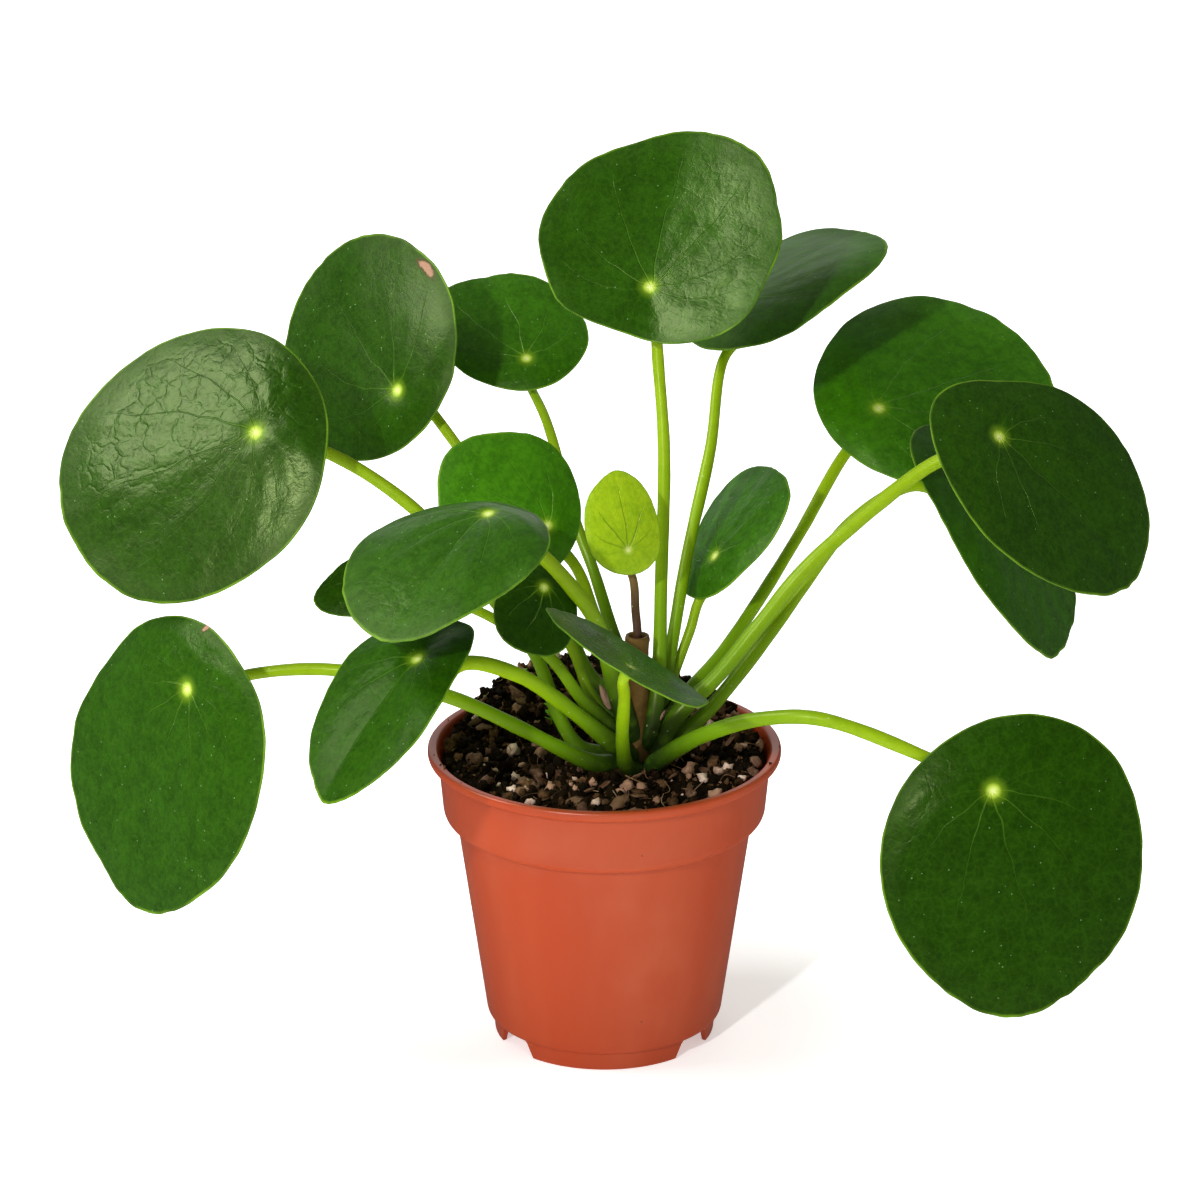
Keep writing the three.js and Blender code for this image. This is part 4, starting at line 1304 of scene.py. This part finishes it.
def stalk_points(leaf):
    """The stalk's bends, from inside the stem to the underside of its blade."""
    face = blade_axes(leaf)[2]
    spot = from_axis(*leaf["at"])
    if leaf["root"] == "top":
        start = [from_axis(*STEM_AT, z) for z in TOP_ROOT]
    else:
        angle, height = math.radians(leaf["root"][0]), leaf["root"][1]
        (wide, low), (narrow, high) = STEM_WIDE, STEM_NARROW
        share = min(max((height - leaf["stalk"][0] - low) / (high - low), 0), 1)
        clear = between(wide, narrow, share) + STALK_GAP
        start = [from_axis(STEM_AT[0] + distance * math.cos(angle),
                           STEM_AT[1] + distance * math.sin(angle), height + rise)
                 for distance, rise in ((0.5, -11), (clear + 0.6, -2))]
    ends = [spot - face * distance * MM for distance in (*leaf["approach"], 1.4)]
    return start + [from_axis(*p) for p in leaf["via"]] + ends


class PILEA_OT_stalks(bpy.types.Operator):
    """Build the leaf stalks along their paths"""

    bl_idname = "pilea.stalks"
    bl_label = "Leaf Stalks"

    def execute(self, context):
        given = settings("stalk")
        tree = shared_tree("Stalk along a Path", stalk_tree)
        look = shared_tree("Stalk Surface", stalk_look)
        read = {"Place": own_place, "Along": stored("along"),
                "Distance": stored("distance", scale=1000.0)}
        green = surface("green stalk", look, {**read, "Middle": given.middle, "Top": given.top},
                        Specular_IOR_Level=0.35, Specular_Tint=STALK_SHEEN)
        # The young stalk's dark foot is painted shade of the crown too.
        brown = surface("young stalk", look, {
            **read, "Foot": (0.05, 0.02, 0.01, 1), "Middle": (0.13, 0.06, 0.02, 1),
            "Top": (0.22, 0.14, 0.03, 1)})
        for leaf in LEAVES:
            young = leaf["name"] == "youngest"
            path = path_through(stalk_points(leaf))
            length = sum((b - a).length for a, b in zip(path, path[1:]))
            line = mesh_object("stalk_path", path, [], [(i, i + 1) for i in range(len(path) - 1)])
            values = {
                "Foot Radius": leaf["stalk"][0] * MM, "Top Radius": leaf["stalk"][1] * MM,
                "Foot Swell": 1.0 if young else 1.3, "Top Flare": 1.3, "Length": length,
                "Rings": max(16, round(length / given.ring_step)), "Sides": given.sides,
                "Finish": brown if young else green,
            }
            stalk = run_tree(line, tree, values, leaf["name"] + "_petiole")
            finished(stalk, "stalk_" + leaf["name"])
        return {"FINISHED"}


# ---- Stage ----


class PILEA_OT_stage(bpy.types.Operator):
    """Set up the pale floor, the soft light and the camera"""

    bl_idname = "pilea.stage"
    bl_label = "Stage"

    def execute(self, context):
        given = settings("stage")
        self.floor(given)
        self.room(given)
        aim = from_axis(0, 0, AIM_HEIGHT)
        for name, at, size, power in LAMPS:
            lamp = bpy.data.lights.new(name, "AREA")
            lamp.shape = "RECTANGLE"
            lamp.size, lamp.size_y = size
            lamp.energy = getattr(given, power)
            made = linked(name, lamp)
            made.location = at = aim + Vector(at)
            made.rotation_euler = (aim - at).to_track_quat("-Z", "Y").to_euler()

        lens = bpy.data.cameras.new("camera")
        lens.sensor_fit = "HORIZONTAL"
        lens.angle = given.field
        lens.clip_end = 20
        camera = linked("camera", lens)
        camera.location = from_axis(0, 0, 0) + Vector(given.camera_at)
        camera.rotation_euler = (given.camera_pitch, 0, 0)
        context.scene.camera = camera
        context.scene.view_settings.view_transform = "Standard"
        return {"FINISHED"}

    def floor(self, given):
        """A wide pale sheet that gives off more light away from the pot."""
        corners = [(x * FLOOR_HALF, y * FLOOR_HALF, 0)
                   for x, y in ((-1, -1), (1, -1), (1, 1), (-1, 1))]
        floor = mesh_object("floor", corners, [(0, 1, 2, 3)])
        paper = bpy.data.materials.new("pale floor")
        paper.use_nodes = True
        tree = paper.node_tree
        away = own_place(tree).vector("DISTANCE", {1: from_axis(0, 0, 0)}, "Value")
        feed(tree.nodes["Principled BSDF"], {
            "Base Color": (0.93, 0.93, 0.93, 1), "Roughness": 0.9, "Specular IOR Level": 0.1,
            "Emission Color": (1, 1, 1, 1),
            "Emission Strength": fade(away, *FLOOR_FADE, given.floor_glow,
                                      given.floor_glow + FLOOR_RISE),
        })
        floor.data.materials.append(paper)
        floor.visible_glossy = False

    def room(self, given):
        """A pale room all round, darker as things mirror it and white as it is seen."""
        world = bpy.data.worlds.new("pale room")
        bpy.context.scene.world = world
        world.use_nodes = True
        ray = put(world.node_tree, "ShaderNodeLightPath")
        level = ramp(ray["Is Glossy Ray"], given.world_light, given.world_mirror)
        level = ramp(ray["Is Camera Ray"], level, SEEN_SURROUND)
        feed(world.node_tree.nodes["Background"], {"Color": (1, 1, 1, 1), "Strength": level})


class PILEA_PT_panel(bpy.types.Panel):
    bl_label = "Potted Pilea"
    bl_idname = "PILEA_PT_panel"
    bl_space_type = "VIEW_3D"
    bl_region_type = "UI"
    bl_category = "Pilea"

    def draw(self, context):
        for operator, part in STEPS:
            column = self.layout.column(align=True)
            column.operator(operator.bl_idname)
            if part:
                given = settings(part)
                for label in given.bl_rna.properties.keys():
                    if label not in ("rna_type", "name"):
                        column.prop(given, label)


GROUPS = [
    ("pot", PotSettings), ("soil", SoilSettings), ("blade", BladeSettings),
    ("stalk", StalkSettings), ("stage", StageSettings),
]
STEPS = [
    (PILEA_OT_stage, "stage"), (PILEA_OT_pot, "pot"), (PILEA_OT_soil, "soil"),
    (PILEA_OT_stem, None), (PILEA_OT_stalks, "stalk"), (PILEA_OT_blades, "blade"),
]


def register():
    for part, group in GROUPS:
        bpy.utils.register_class(group)
        setattr(bpy.types.Scene, f"pilea_{part}", bpy.props.PointerProperty(type=group))
    for operator, _ in STEPS:
        bpy.utils.register_class(operator)
    bpy.utils.register_class(PILEA_PT_panel)


def unregister():
    bpy.utils.unregister_class(PILEA_PT_panel)
    for operator, _ in reversed(STEPS):
        bpy.utils.unregister_class(operator)
    for part, group in reversed(GROUPS):
        delattr(bpy.types.Scene, f"pilea_{part}")
        bpy.utils.unregister_class(group)


def main():
    register()
    for operator, _ in STEPS:
        group, name = operator.bl_idname.split(".")
        getattr(getattr(bpy.ops, group), name)()
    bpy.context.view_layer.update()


if __name__ == "__main__":
    main()
